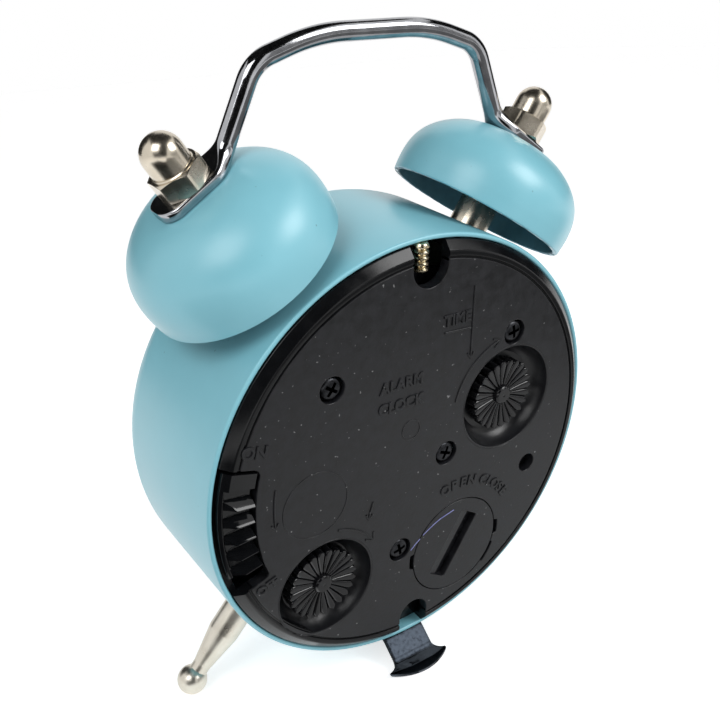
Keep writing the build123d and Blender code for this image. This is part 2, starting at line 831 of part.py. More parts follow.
# Back plate: moulded plate with a bevelled edge, a skirt inside the case, two knob wells,
# the switch slot, two edge notches, a sound hole and the battery hole with its bayonet entries
with BuildPart() as back_plate:
    with BuildSketch(turning_plane()):
        with BuildLine():
            Polyline(
                (0, plate_face),
                (plate_face_radius, plate_face),
                (plate_radius, plate_face + plate_bevel_drop),
                (plate_radius, plate_skirt_depth),
                (plate_skirt_inner_radius, plate_skirt_depth),
                (plate_skirt_inner_radius, plate_inner_face),
                (0, plate_inner_face),
                close=True,
            )
        make_face()
    revolve(axis=turning_axis())
    for place, radius in wells:
        with BuildSketch(at_depth(plate_inner_face)):
            with Locations(place):
                Circle(radius + well_boss_wall)
        extrude(amount=well_boss_end - plate_inner_face)
    for place, radius in wells:
        with BuildSketch(turning_plane(place)):
            add(well_outline(radius))
        revolve(axis=turning_axis(place), mode=Mode.SUBTRACT)
    well_rims = back_plate.edges().filter_by(GeomType.CIRCLE).group_by(Axis.Y)[-1]
    fillet(well_rims.sort_by(SortBy.RADIUS)[:2], radius=well_rim_radius)
    with BuildSketch(at_depth(plate_face)):
        Circle(plate_groove_radius)
        Circle(plate_groove_radius - plate_groove_width, mode=Mode.SUBTRACT)
    extrude(amount=plate_groove_depth, mode=Mode.SUBTRACT)
    with BuildSketch(at_depth(plate_face - cut_overrun)):
        add(
            ring_sector(
                switch_slot_radius,
                plate_radius + cut_overrun,
                switch_slot_first_angle,
                switch_slot_last_angle,
            )
        )
        with Locations(sound_hole_place):
            Circle(sound_hole_radius)
        for place in screw_places:
            with Locations(place):
                Circle(screw_shank_radius + thread_hole_gap)
        with Locations(lid_place):
            Circle(lid_hole_radius)
            for middle_angle in (90, 270):
                add(
                    ring_sector(
                        lid_plug_radius,
                        lid_lug_radius + assembly_gap,
                        middle_angle - lid_entry_angle / 2,
                        middle_angle + lid_entry_angle / 2,
                    )
                )
    extrude(amount=plate_sheet + cut_overrun, mode=Mode.SUBTRACT)
    with BuildSketch(at_depth(plate_face - cut_overrun)):
        for place in screw_places:
            with Locations(place):
                Circle(screw_head_radius + assembly_gap)
    extrude(amount=cut_overrun + screw_sink + screw_head_height, mode=Mode.SUBTRACT)
    with BuildSketch(at_depth(plate_face - cut_overrun)):
        for place, radius in wells:
            with Locations(place):
                Circle(knob_shaft_radius + assembly_gap)
    extrude(amount=cut_overrun + well_boss_end - plate_face, mode=Mode.SUBTRACT)
    with BuildSketch(at_depth(plate_face - cut_overrun)):
        add(notch_outline(0, notch_radius, notch_depth))
    extrude(amount=plate_full_depth + 2 * cut_overrun, mode=Mode.SUBTRACT)
    with BuildSketch(clock_plane(plate_face - cut_overrun, 180)):
        add(
            notch_outline(
                -lower_notch_place_share * plate_face_radius, lower_notch_radius, notch_depth
            )
        )
    extrude(amount=plate_full_depth + 2 * cut_overrun, mode=Mode.SUBTRACT)
pieces["back_plate"] = back_plate

# Plate screws: round heads with a cross recess, through the plate into the movement
screw_head_top = plate_face + screw_sink
screw_seat = screw_head_top + screw_head_height
with BuildPart() as plate_screws:
    for place in screw_places:
        with BuildSketch(at_depth(screw_head_top)):
            with Locations(place):
                Circle(screw_head_radius)
        extrude(amount=screw_head_height)
        with BuildSketch(at_depth(screw_seat)):
            with Locations(place):
                Circle(screw_shank_radius)
        extrude(amount=screw_length)
    with BuildSketch(at_depth(screw_head_top)):
        for place in screw_places:
            with Locations(place):
                Rectangle(screw_cross_length, screw_cross_width)
                Rectangle(screw_cross_width, screw_cross_length)
    extrude(amount=screw_cross_depth, mode=Mode.SUBTRACT)
pieces["plate_screws"] = plate_screws

# Case screw: threaded brass screw end that shows in the upper notch
case_screw_top = math.sqrt(case_inner_radius**2 - (case_screw_x + case_screw_radius) ** 2)
groove_pitch = case_screw_length / (case_screw_grooves + 1)
with BuildPart() as case_screw:
    with BuildSketch(Plane.XY.offset(case_screw_top - case_screw_length)):
        with Locations((case_screw_x, -case_screw_depth)):
            Circle(case_screw_radius)
    extrude(amount=case_screw_length)
    for i in range(case_screw_grooves):
        groove_height = case_screw_top - (i + 1) * groove_pitch - groove_pitch / 4
        with BuildSketch(Plane.XY.offset(groove_height)):
            with Locations((case_screw_x, -case_screw_depth)):
                Circle(case_screw_radius)
                Circle(case_screw_radius - case_screw_groove_depth, mode=Mode.SUBTRACT)
        extrude(amount=groove_pitch / 2, mode=Mode.SUBTRACT)
pieces["case_screw"] = case_screw


def knob(place):
    """Fluted knob: rounded petals on a disc, with a raised centre and a shaft bore."""
    cap_radius = knob_radius - knob_cap
    petal_width_share = 2 * math.pi / knob_petals * knob_petal_share
    outer_half = cap_radius * petal_width_share / 2
    inner_half = knob_petal_inner_radius * petal_width_share / 2
    with BuildSketch() as petal:
        with BuildLine():
            Polyline(
                (cap_radius, -outer_half),
                (knob_petal_inner_radius, -inner_half),
                (knob_petal_inner_radius, inner_half),
                (cap_radius, outer_half),
            )
            ThreePointArc((cap_radius, -outer_half), (knob_radius, 0), (cap_radius, outer_half))
        make_face()
    with BuildPart() as fluted:
        with BuildSketch(at_depth(knob_groove)):
            with Locations(place):
                Circle(cap_radius)
        extrude(amount=knob_bottom - knob_groove)
        with BuildSketch(at_depth(knob_top)):
            with Locations(place):
                for i in range(knob_petals):
                    add(petal.sketch, rotation=i * 360 / knob_petals)
        extrude(amount=knob_bottom - knob_top)
        with BuildSketch(at_depth(knob_top - knob_boss_rise)):
            with Locations(place):
                Circle(knob_boss_radius)
        extrude(amount=knob_bottom - knob_top + knob_boss_rise)
        with BuildSketch(at_depth(knob_groove)):
            with Locations(place):
                Circle(knob_shaft_radius + press_gap)
        extrude(amount=knob_bottom - knob_groove, mode=Mode.SUBTRACT)
    return fluted


pieces["time_knob"] = knob(time_knob_place)
pieces["alarm_knob"] = knob(alarm_knob_place)

# Alarm switch: slider with a flush pad and five ribs, at the ON end of its slot, held by a flange
# behind the plate, with a contact peg
switch_first = switch_rest_angle - switch_span_angle / 2
switch_last = switch_rest_angle + switch_span_angle / 2
switch_rib_middle = switch_rest_angle + switch_rib_offset_angle
switch_base_top = plate_face + switch_base_sink
switch_peg_end = board_front - seat_gap
with BuildPart() as alarm_switch:
    with BuildSketch(at_depth(switch_base_top)):
        add(ring_sector(switch_inner_radius, switch_outer_radius, switch_first, switch_last))
    extrude(amount=switch_flange_end - switch_base_top)
    with BuildSketch(at_depth(switch_flange_depth)):
        add(ring_sector(switch_flange_radius, switch_outer_radius, switch_first, switch_last))
    extrude(amount=switch_flange_thickness)
    with BuildSketch(at_depth(plate_face)):
        add(
            ring_sector(
                switch_inner_radius,
                switch_pad_radius,
                switch_first,
                switch_first + switch_pad_angle,
            )
        )
    extrude(amount=plate_sheet - running_gap)
    with BuildSketch(at_depth(switch_rib_top)):
        for i in range(switch_rib_count):
            rib_step = i - (switch_rib_count - 1) / 2
            rib_angle = switch_rib_middle + rib_step * switch_rib_pitch_angle
            add(
                ring_sector(
                    switch_inner_radius,
                    switch_rib_radius,
                    rib_angle - switch_rib_angle / 2,
                    rib_angle + switch_rib_angle / 2,
                )
            )
    extrude(amount=switch_base_top + running_gap - switch_rib_top)
    with BuildSketch(at_depth(switch_flange_end)):
        with Locations(clock_point(switch_peg_reach, switch_rest_angle)):
            Circle(switch_peg_radius)
    extrude(amount=switch_peg_end - switch_flange_end)
pieces["alarm_switch"] = alarm_switch

# Battery lid: disc with a coin slot, a plug and two bayonet lugs that hook behind the plate
with BuildPart() as battery_lid:
    with BuildSketch(at_depth(plate_face)):
        with Locations(lid_place):
            Circle(lid_radius)
    extrude(amount=lid_sheet)
    with BuildSketch(at_depth(plate_face + lid_sheet)):
        with Locations(lid_place):
            Circle(lid_plug_radius)
    extrude(amount=lid_bottom - plate_face - lid_sheet)
    with BuildSketch(at_depth(lid_lug_depth)):
        with Locations(lid_place):
            for middle_angle in (90 - lid_turn_angle, 270 - lid_turn_angle):
                add(
                    ring_sector(
                        lid_plug_radius - cell_cup_wall,
                        lid_lug_radius,
                        middle_angle - lid_lug_angle / 2,
                        middle_angle + lid_lug_angle / 2,
                    )
                )
    extrude(amount=lid_lug_height)
    with BuildSketch(at_depth(plate_face)):
        with Locations(lid_place):
            SlotOverall(coin_slot_length, coin_slot_width, rotation=coin_slot_angle)
    extrude(amount=coin_slot_depth, mode=Mode.SUBTRACT)
pieces["battery_lid"] = battery_lid

# Places of the wheels that run beside the centre line
minute_share = (cannon_teeth + minute_wheel_teeth) / (
    cannon_teeth + 2 * minute_wheel_teeth + time_gear_teeth
)
alarm_share = (alarm_wheel_teeth + alarm_idler_teeth) / (
    alarm_wheel_teeth + 2 * alarm_idler_teeth + alarm_gear_teeth
)
minute_place = placed(time_knob_place, minute_share)
idler_place = placed(alarm_knob_place, alarm_share)
time_module = 2 * math.hypot(*minute_place) / (cannon_teeth + minute_wheel_teeth)
alarm_module = 2 * math.hypot(*idler_place) / (alarm_wheel_teeth + alarm_idler_teeth)
second_distance = second_module * (intermediate_pinion_teeth + second_wheel_teeth) / 2
rotor_distance = rotor_module * (rotor_pinion_teeth + intermediate_teeth) / 2
third_distance = third_module * (second_pinion_teeth + third_wheel_teeth) / 2
centre_module = 2 * third_distance / (third_pinion_teeth + centre_wheel_teeth)
intermediate_place = polar(second_distance, intermediate_direction)
rotor_place = polar(rotor_distance, rotor_direction, intermediate_place)
third_place = polar(third_distance, third_direction)
centre_place = (0, 0)

# Place of the motor coil, on a core that bridges the two legs of the stator
stator_depth = rear_layers[1]
core_place = (rotor_place[0], rotor_place[1] + stator_leg_rise - core_height / 2)
core_middle_depth = stator_depth + stator_sheet + stator_sheet / 2
leg_offset = stator_half_width - stator_leg_width / 2
stator_pillars = [(core_place[0] + side * leg_offset, core_place[1]) for side in (1, -1)]


def gear_outline(teeth, module, phase):
    """Straight flanked gear with a tooth at the phase angle and wide gaps for free running."""
    pitch_angle = 360 / teeth
    root_radius = module * (teeth / 2 - tooth_root_share)
    tip_radius = module * (teeth / 2 + tooth_tip_share)
    points = []
    for i in range(teeth):
        middle = phase + i * pitch_angle
        points.append(polar(root_radius, middle - pitch_angle * tooth_root_width_share / 2))
        points.append(polar(tip_radius, middle - pitch_angle * tooth_tip_width_share / 2))
        points.append(polar(tip_radius, middle + pitch_angle * tooth_tip_width_share / 2))
        points.append(polar(root_radius, middle + pitch_angle * tooth_root_width_share / 2))
    with BuildSketch() as outline:
        with BuildLine():
            Polyline(*points, close=True)
        make_face()
    return outline.sketch


def meshing_phase(driver_teeth, driver_phase, teeth, toward):
    """Phase of a gear that meshes with a driver, toward it from the driver's centre."""
    driver_offset = (driver_phase - toward) * driver_teeth / teeth
    return toward + 180 - driver_offset + 180 / teeth


def toothed(place, gears, shaft_radius, shaft_start, shaft_end, bore=0):
    """Gears on one shaft or tube. Each gear is its teeth, module, depth and phase."""
    with BuildPart() as wheel:
        with BuildSketch(at_depth(shaft_start)):
            with Locations(place):
                Circle(shaft_radius)
        extrude(amount=shaft_end - shaft_start)
        for teeth, module, depth, phase in gears:
            with BuildSketch(at_depth(depth)):
                with Locations(place):
                    add(gear_outline(teeth, module, phase))
            extrude(amount=gear_thickness)
        if bore > 0:
            with BuildSketch(at_depth(shaft_start - cut_overrun)):
                with Locations(place):
                    Circle(bore)
            extrude(amount=shaft_end - shaft_start + 2 * cut_overrun, mode=Mode.SUBTRACT)
    return wheel


# Movement rear plate: screw bosses, battery cup, board side, pillars and arbor bearings
rear_bearings = [
    (centre_place, arbor_radius),
    (intermediate_place, wheel_arbor_radius),
    (third_place, wheel_arbor_radius),
    (rotor_place, rotor_arbor_radius),
    (time_knob_place, knob_shaft_radius),
    (alarm_knob_place, knob_shaft_radius),
]
with BuildPart() as movement_rear_plate:
    with BuildSketch(at_depth(movement_depth)):
        Circle(movement_radius)
    extrude(amount=movement_sheet)
    with BuildSketch(at_depth(plate_inner_face)):
        for place in screw_places:
            with Locations(place):
                Circle(screw_boss_radius)
    extrude(amount=movement_depth - plate_inner_face)
    with BuildSketch(at_depth(cup_start)):
        with Locations(lid_place):
            Circle(cup_outer_radius)
    extrude(amount=cup_end - cup_start)
    with BuildSketch(at_depth(rear_plate_front)):
        for place in rear_pillars:
            with Locations(place):
                Circle(pillar_radius)
    extrude(amount=middle_plate_depth - rear_plate_front)
    with BuildSketch(at_depth(rear_plate_front)):
        for place in front_pillars:
            with Locations(place):
                Circle(pillar_radius)
    extrude(amount=front_plate_depth - rear_plate_front)
    with BuildSketch(at_depth(rear_plate_front)):
        for place in stator_pillars:
            with Locations(place):
                Circle(pillar_radius)
    extrude(amount=stator_depth - rear_plate_front)
    with BuildSketch(at_depth(cup_start - cut_overrun)):
        with Locations(lid_place):
            Circle(cup_radius)
    extrude(amount=cup_floor - cup_start + cut_overrun, mode=Mode.SUBTRACT)
    with BuildSketch(at_depth(plate_inner_face - cut_overrun)):
        for place in screw_places:
            with Locations(place):
                Circle(screw_shank_radius + press_gap)
    extrude(amount=cut_overrun + screw_seat + screw_length - plate_inner_face, mode=Mode.SUBTRACT)
    with BuildSketch(at_depth(movement_depth - cut_overrun)):
        for place, radius in rear_bearings:
            with Locations(place):
                Circle(radius + running_gap)
    extrude(amount=movement_sheet + 2 * cut_overrun, mode=Mode.SUBTRACT)
pieces["movement_rear_plate"] = movement_rear_plate

# Movement middle plate: bridge over the rear layers, on the short pillars
with BuildPart() as movement_middle_plate:
    with BuildSketch(at_depth(middle_plate_depth)):
        for place in rear_pillars:
            with Locations(place):
                Circle(pillar_radius)
        for place, radius in rear_bearings[:4]:
            with Locations(place):
                Circle(radius + middle_edge)
        make_hull()
        for place, radius in rear_bearings[:4]:
            with Locations(place):
                Circle(radius + running_gap, mode=Mode.SUBTRACT)
    extrude(amount=middle_sheet)
pieces["movement_middle_plate"] = movement_middle_plate

# Movement front plate: on the long pillars, with the centre bush, the dial support and two studs
dial_support_radius = movement_front_radius - dial_support_edge_gap
with BuildPart() as movement_front_plate:
    with BuildSketch(at_depth(front_plate_depth)):
        Circle(movement_front_radius)
    extrude(amount=movement_sheet)
    with BuildSketch(at_depth(front_plate_front)):
        Circle(dial_support_radius)
        Circle(dial_support_radius - dial_support_wall, mode=Mode.SUBTRACT)
    extrude(amount=dial_depth - front_plate_front)
    with BuildSketch(at_depth(front_plate_front)):
        Circle(alarm_bearing_radius + front_bush_wall)
    extrude(amount=front_bush_length)
    for place, depth in ((minute_place, front_layers[1]), (idler_place, front_layers[3])):
        with BuildSketch(at_depth(depth)):
            with Locations(place):
                Circle(stud_radius)
        extrude(amount=front_plate_depth - depth)
    with BuildSketch(at_depth(front_plate_depth - cut_overrun)):
        Circle(alarm_bearing_radius)
        for place in (time_knob_place, alarm_knob_place):
            with Locations(place):
                Circle(knob_shaft_radius + running_gap)
    extrude(amount=movement_sheet + front_bush_length + 2 * cut_overrun, mode=Mode.SUBTRACT)
pieces["movement_front_plate"] = movement_front_plate

# Time setting train: setting gear on the knob shaft, minute wheel, cannon pinion, hour wheel
time_phase = 0
minute_toward = direction(time_knob_place, minute_place)
minute_phase = meshing_phase(time_gear_teeth, time_phase, minute_wheel_teeth, minute_toward)
cannon_toward = direction(minute_place, centre_place)
cannon_phase = meshing_phase(minute_wheel_teeth, minute_phase, cannon_teeth, cannon_toward)
hour_phase = meshing_phase(minute_pinion_teeth, minute_phase, hour_wheel_teeth, cannon_toward)
knob_shaft_end = front_plate_front - knob_shaft_tail
pieces["time_set_gear"] = toothed(
    time_knob_place,
    [(time_gear_teeth, time_module, front_layers[1], time_phase)],
    knob_shaft_radius,
    knob_groove,
    knob_shaft_end,
)
pieces["minute_wheel"] = toothed(
    minute_place,
    [
        (minute_wheel_teeth, time_module, front_layers[1], minute_phase),
        (minute_pinion_teeth, time_module, front_layers[2], minute_phase),
    ],
    stud_radius + tube_wall,
    front_layers[1],
    front_layers[2] + gear_thickness,
    stud_radius + running_gap,
)
pieces["cannon_pinion"] = toothed(
    centre_place,
    [(cannon_teeth, time_module, front_layers[1], cannon_phase)],
    cannon_radius,
    middle_plate_front + shaft_end_gap,
    hand_depths[2] + hand_sheet + tube_end_rise,
    cannon_bore,
)
pieces["hour_wheel"] = toothed(
    centre_place,
    [(hour_wheel_teeth, time_module, front_layers[2], hour_phase)],
    hour_radius,
    front_layers[2],
    hand_depths[1] + hand_sheet + tube_end_rise,
    hour_bore,
)

# Alarm setting train: setting gear on the knob shaft, idler, alarm wheel
alarm_phase = 0
idler_toward = direction(alarm_knob_place, idler_place)
idler_phase = meshing_phase(alarm_gear_teeth, alarm_phase, alarm_idler_teeth, idler_toward)
alarm_wheel_phase = meshing_phase(alarm_idler_teeth, idler_phase, alarm_wheel_teeth, idler_toward)
pieces["alarm_set_gear"] = toothed(
    alarm_knob_place,
    [(alarm_gear_teeth, alarm_module, front_layers[3], alarm_phase)],
    knob_shaft_radius,
    knob_groove,
    knob_shaft_end,
)
pieces["alarm_idler"] = toothed(
    idler_place,
    [(alarm_idler_teeth, alarm_module, front_layers[3], idler_phase)],
    stud_radius + tube_wall,
    front_layers[3],
    front_layers[3] + gear_thickness,
    stud_radius + running_gap,
)
pieces["alarm_wheel"] = toothed(
    centre_place,
    [(alarm_wheel_teeth, alarm_module, front_layers[3], alarm_wheel_phase)],
    alarm_radius,
    front_layers[3],
    hand_depths[0] + hand_sheet + tube_end_rise,
    alarm_bore,
)

# Running train: rotor, intermediate wheel, second wheel, third wheel, centre wheel
rear_arbor_start = movement_depth + shaft_end_gap
middle_arbor_end = middle_plate_front - shaft_end_gap
second_phase = 0
intermediate_phase = meshing_phase(
    second_wheel_teeth, second_phase, intermediate_pinion_teeth, intermediate_direction
)
rotor_phase = meshing_phase(
    intermediate_teeth, intermediate_phase, rotor_pinion_teeth, rotor_direction
)
third_phase = meshing_phase(second_pinion_teeth, second_phase, third_wheel_teeth, third_direction)
centre_phase = meshing_phase(
    third_pinion_teeth, third_phase, centre_wheel_teeth, third_direction + 180
)
pieces["intermediate_wheel"] = toothed(
    intermediate_place,
    [
        (intermediate_teeth, rotor_module, rear_layers[0], intermediate_phase),
        (intermediate_pinion_teeth, second_module, rear_layers[1], intermediate_phase),
    ],
    wheel_arbor_radius,
    rear_arbor_start,
    middle_arbor_end,
)
pieces["second_wheel"] = toothed(
    centre_place,
    [
        (second_wheel_teeth, second_module, rear_layers[1], second_phase),
        (second_pinion_teeth, third_module, rear_layers[2], second_phase),
    ],
    arbor_radius,
    rear_arbor_start,
    hand_depths[3] + hand_sheet + tube_end_rise,
)
pieces["third_wheel"] = toothed(
    third_place,
    [
        (third_wheel_teeth, third_module, rear_layers[2], third_phase),
        (third_pinion_teeth, centre_module, front_layers[0], third_phase),
    ],
    wheel_arbor_radius,
    rear_arbor_start,
    front_layers[0] + gear_thickness,
)
pieces["centre_wheel"] = toothed(
    centre_place,
    [(centre_wheel_teeth, centre_module, front_layers[0], centre_phase)],
    cannon_radius + running_gap + tube_wall,
    front_layers[0],
    front_layers[0] + gear_thickness,
    cannon_radius + running_gap,
)

# Rotor: magnet and pinion on one fine arbor
rotor_magnet_depth = rear_layers[0] + gear_thickness + shaft_end_gap
with BuildPart() as rotor:
    add(
        toothed(
            rotor_place,
            [(rotor_pinion_teeth, rotor_module, rear_layers[0], rotor_phase)],
            rotor_arbor_radius,
            rear_arbor_start,
            middle_arbor_end,
        ).part
    )
    with BuildSketch(at_depth(rotor_magnet_depth)):
        with Locations(rotor_place):
            Circle(rotor_magnet_radius)
    extrude(amount=rotor_magnet_height)
pieces["rotor"] = rotor

# Stator: lamination round the rotor with two legs, bridged by the core of the coil
with BuildPart() as stator:
    with BuildSketch(at_depth(stator_depth)):
        with Locations(rotor_place):
            Rectangle(2 * stator_half_width, 2 * stator_half_height)
        for side in (1, -1):
            with Locations((rotor_place[0] + side * leg_offset, rotor_place[1] + stator_leg_rise / 2)):
                Rectangle(stator_leg_width, stator_leg_rise)
        with Locations(rotor_place):
            Circle(rotor_magnet_radius + stator_hole_gap, mode=Mode.SUBTRACT)
    extrude(amount=stator_sheet)
    with BuildSketch(at_depth(stator_depth + stator_sheet)):
        with Locations(core_place):
            Rectangle(2 * stator_half_width, core_height)
    extrude(amount=stator_sheet)
pieces["stator"] = stator

# Coil: wound barrel on the core
with BuildPart() as coil:
    with BuildSketch(Plane.YZ.offset(core_place[0] - coil_length / 2)):
        with Locations((-core_middle_depth, core_place[1])):
            Circle(coil_radius)
            Rectangle(
                stator_sheet + 2 * press_gap, core_height + 2 * press_gap, mode=Mode.SUBTRACT
            )
    extrude(amount=coil_length)
pieces["coil"] = coil

# Circuit board with its chip blob, crystal and alarm contact
with BuildPart() as circuit_board:
    with BuildSketch(at_depth(rear_plate_front)):
        with Locations(board_place):
            Rectangle(board_width, board_height)
    extrude(amount=board_sheet)
pieces["circuit_board"] = circuit_board

with BuildPart() as control_chip:
    with BuildSketch(at_depth(board_front)):
        with Locations((board_place[0], board_place[1] + chip_rise)):
            Circle(chip_radius)
    extrude(amount=chip_height)
pieces["control_chip"] = control_chip

with BuildPart() as crystal:
    with BuildSketch(Plane.XY.offset(board_place[1] - crystal_drop)):
        with Locations((board_place[0], -board_front - crystal_radius)):
            Circle(crystal_radius)
    extrude(amount=crystal_length)
pieces["crystal"] = crystal

contact_start = board_place[0] + board_width / 2 - alarm_contact_overlap
contact_end = switch_peg_reach + switch_peg_radius
with BuildPart() as alarm_contact:
    with BuildSketch(at_depth(board_front)):
        with Locations(((contact_start + contact_end) / 2, board_place[1])):
            Rectangle(contact_end - contact_start, alarm_contact_width)
    extrude(amount=contact_sheet)
pieces["alarm_contact"] = alarm_contact

# Buzzer: round sounder on the inside of the back plate, behind the sound hole
with BuildPart() as buzzer:
    with BuildSketch(at_depth(plate_inner_face)):
        with Locations(sound_hole_place):
            Circle(buzzer_radius)
    extrude(amount=buzzer_height)
pieces["buzzer"] = buzzer

# Button cell: can with a smaller raised cap at the inner end, between its two contacts
with BuildPart() as button_cell:
    with BuildSketch(at_depth(cell_start)):
        with Locations(lid_place):
            Circle(cell_radius)
    extrude(amount=cell_height - cell_lip_height)
    with BuildSketch(at_depth(cell_end - cell_lip_height)):
        with Locations(lid_place):
            Circle(cell_lip_radius)
    extrude(amount=cell_lip_height)
pieces["button_cell"] = button_cell

with BuildPart() as cell_contact_negative:
    with BuildSketch(at_depth(cell_end)):
        with Locations(lid_place):
            SlotOverall(2 * cell_lip_radius, contact_width)
    extrude(amount=contact_sheet)
pieces["cell_contact_negative"] = cell_contact_negative

with BuildPart() as cell_contact_positive:
    with BuildSketch(at_depth(cell_start)):
        with Locations(lid_place):
            add(
                ring_sector(
                    cup_radius - contact_sheet, cup_radius, -contact_angle / 2, contact_angle / 2
                )
            )
    extrude(amount=cell_height - cell_lip_height)
pieces["cell_contact_positive"] = cell_contact_positive

# Dial on its support ring, with the ring that holds the lens against the lip of the case
with BuildPart() as dial:
    with BuildSketch(at_depth(dial_depth)):
        Circle(case_inner_radius - dial_edge_gap)
        Circle(alarm_radius + dial_hole_gap, mode=Mode.SUBTRACT)
    extrude(amount=dial_sheet)
pieces["dial"] = dial


def lip_radius(depth):
    """Inner radius of the rounded front edge of the case at a depth."""
    return case_opening_radius + math.sqrt(case_inner_round**2 - (depth - case_straight_depth) ** 2)


dial_ring_radius = lip_radius(lens_depth) - dial_ring_gap
with BuildPart() as dial_ring:
    with BuildSketch(at_depth(dial_front)):
        Circle(dial_ring_radius)
        Circle(dial_ring_radius - dial_ring_width, mode=Mode.SUBTRACT)
    extrude(amount=dial_ring_height)
pieces["dial_ring"] = dial_ring

lens_radius = lip_radius(lens_front) - assembly_gap
with BuildPart() as lens:
    with BuildSketch(turning_plane()):
        with BuildLine():
            Polyline(
                (0, lens_front + lens_crown),
                (0, lens_depth),
                (lens_radius, lens_depth),
                (lens_radius, lens_front),
                (case_opening_radius - seat_gap, lens_front),
            )
            TangentArc(
                (0, lens_front + lens_crown), (case_opening_radius - seat_gap, lens_front), tangent=(1, 0)
            )
        make_face()
    revolve(axis=turning_axis())
pieces["lens"] = lens


def hand(length, width, tail, bore, depth, angle):
    """Flat tapered hand pressed on its tube, angle clockwise from the top."""
    tip_width = width * hand_tip_share
    with BuildPart() as pointer:
        with BuildSketch(clock_plane(depth, angle)):
            with BuildLine():
                Polyline(
                    (-width / 2, 0),
                    (-tip_width / 2, -tail),
                    (tip_width / 2, -tail),
                    (width / 2, 0),
                    (tip_width / 2, length),
                    (-tip_width / 2, length),
                    close=True,
                )
            make_face()
            Circle(bore + hand_hub_wall)
            Circle(bore + press_gap, mode=Mode.SUBTRACT)
        extrude(amount=hand_sheet)
    return pointer


pieces["alarm_hand"] = hand(
    alarm_hand_length, alarm_hand_width, hand_tail, alarm_radius, hand_depths[0], alarm_hand_angle
)
pieces["hour_hand"] = hand(
    hour_hand_length, hour_hand_width, hand_tail, hour_radius, hand_depths[1], hour_hand_angle
)
pieces["minute_hand"] = hand(
    minute_hand_length, minute_hand_width, hand_tail, cannon_radius, hand_depths[2], minute_hand_angle
)
pieces["second_hand"] = hand(
    second_hand_length,
    second_hand_width,
    second_hand_tail,
    arbor_radius,
    hand_depths[3],
    second_hand_angle,
)

# Standing: the ground touches both ball feet and the lower edge of the rear stand, so the
# clock leans back by the slope of that line. The origin is on the ground under the middle.
ball_place = (-spoke_depth, leg_ball_distance * math.cos(math.radians(leg_angle)))
foot_distance = math.dist(ball_place, stand_lower_end)
lean = direction(ball_place, stand_lower_end) + math.degrees(math.asin(leg_ball_radius / foot_distance))
leaning = Location((0, 0, 0), (-lean, 0, 0))
leaned = {name: piece.part.moved(leaning) for name, piece in pieces.items()}
box = Compound(children=[part.moved(Location()) for part in leaned.values()]).bounding_box()
standing = Location((-box.center().X, -box.center().Y, -box.min.Z)) * leaning

os.makedirs("parts", exist_ok=True)
for name, piece in pieces.items():
    part = piece.part.moved(standing)
    part.label = name
    export_step(part, f"parts/{name}.step")
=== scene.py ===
import json
import math

import bmesh
import bpy
from mathutils import Matrix, Vector

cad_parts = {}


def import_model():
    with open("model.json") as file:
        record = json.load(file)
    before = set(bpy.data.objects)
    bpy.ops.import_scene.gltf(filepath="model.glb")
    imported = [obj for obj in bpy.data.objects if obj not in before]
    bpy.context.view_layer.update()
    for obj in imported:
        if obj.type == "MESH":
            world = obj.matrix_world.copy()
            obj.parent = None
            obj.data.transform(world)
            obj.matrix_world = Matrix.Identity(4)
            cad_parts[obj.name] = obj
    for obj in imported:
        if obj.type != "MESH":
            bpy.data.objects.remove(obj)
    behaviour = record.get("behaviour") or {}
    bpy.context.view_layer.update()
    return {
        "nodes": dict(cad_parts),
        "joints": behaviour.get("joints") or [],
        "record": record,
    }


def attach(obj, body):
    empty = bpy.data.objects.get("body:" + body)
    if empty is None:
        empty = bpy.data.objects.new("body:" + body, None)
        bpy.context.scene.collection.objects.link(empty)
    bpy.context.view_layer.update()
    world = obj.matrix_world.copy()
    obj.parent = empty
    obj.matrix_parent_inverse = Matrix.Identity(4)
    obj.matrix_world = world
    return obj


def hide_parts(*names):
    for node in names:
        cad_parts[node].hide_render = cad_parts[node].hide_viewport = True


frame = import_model()

# The clock's own frame in millimetres: X to the left of the picture, Y to the rear along the
# case axis, Z up. The switch turns about the case axis, so its joint gives the frame.
switch_turn = next(j for j in frame["joints"] if j["name"] == "alarm_switch_slide")
rearward = -Vector(switch_turn["axis"]).normalized()
sideways = Vector((1, 0, 0))
upward = sideways.cross(rearward)
clock = (
    Matrix.Translation(Vector(switch_turn["pos_m"]))
    @ Matrix((sideways, rearward, upward)).transposed().to_4x4()
    @ Matrix.Scale(0.001, 4)
)

# Sizes of the clock that the visual pieces share, in millimetres
spoke_depth = 11.2
bell_angle = 33.9
leg_angle = 140.0
case_radius = 28.0
case_wall = 0.6
case_depth = 24.2
case_round = 5.0
bell_rim_reach = 30.05
bell_crown_reach = 40.05
paddle_thickness = 1.2
hex_flats = 5.5
plate_face = -0.95
time_knob_place = (-13.598, 4.501)
alarm_knob_place = (13.401, -13.598)
knob_top = -0.3
lid_place = (-6.799, -15.649)
lid_radius = 6.85
screw_places = [(12.89, 13.1), (-13.807, 13.493), (-4.1, -0.603), (2.4, -12.707)]
dial_front = 18.2


def spoke(angle, reach=0.0):
    """Frame on a spoke of the case, Z outwards, at an angle clockwise from the dial's top."""
    turn = Matrix.Rotation(math.radians(angle), 4, "Y")
    return turn @ Matrix.Translation((0, -spoke_depth, reach))


def facing_frame(axes, x, z, depth, turn):
    """Frame with given axes at a place of the back or the dial, turned about its own Z."""
    place = Matrix.Translation((x, -depth, z)) @ Matrix(axes).to_4x4()
    return place @ Matrix.Rotation(math.radians(turn), 4, "Z")


def behind(x, z, depth, turn=0.0):
    """Frame that faces the rear: its Z to the rear, its Y up, its X to the right of the picture."""
    return facing_frame(((-1, 0, 0), (0, 0, 1), (0, 1, 0)), x, z, depth, turn)


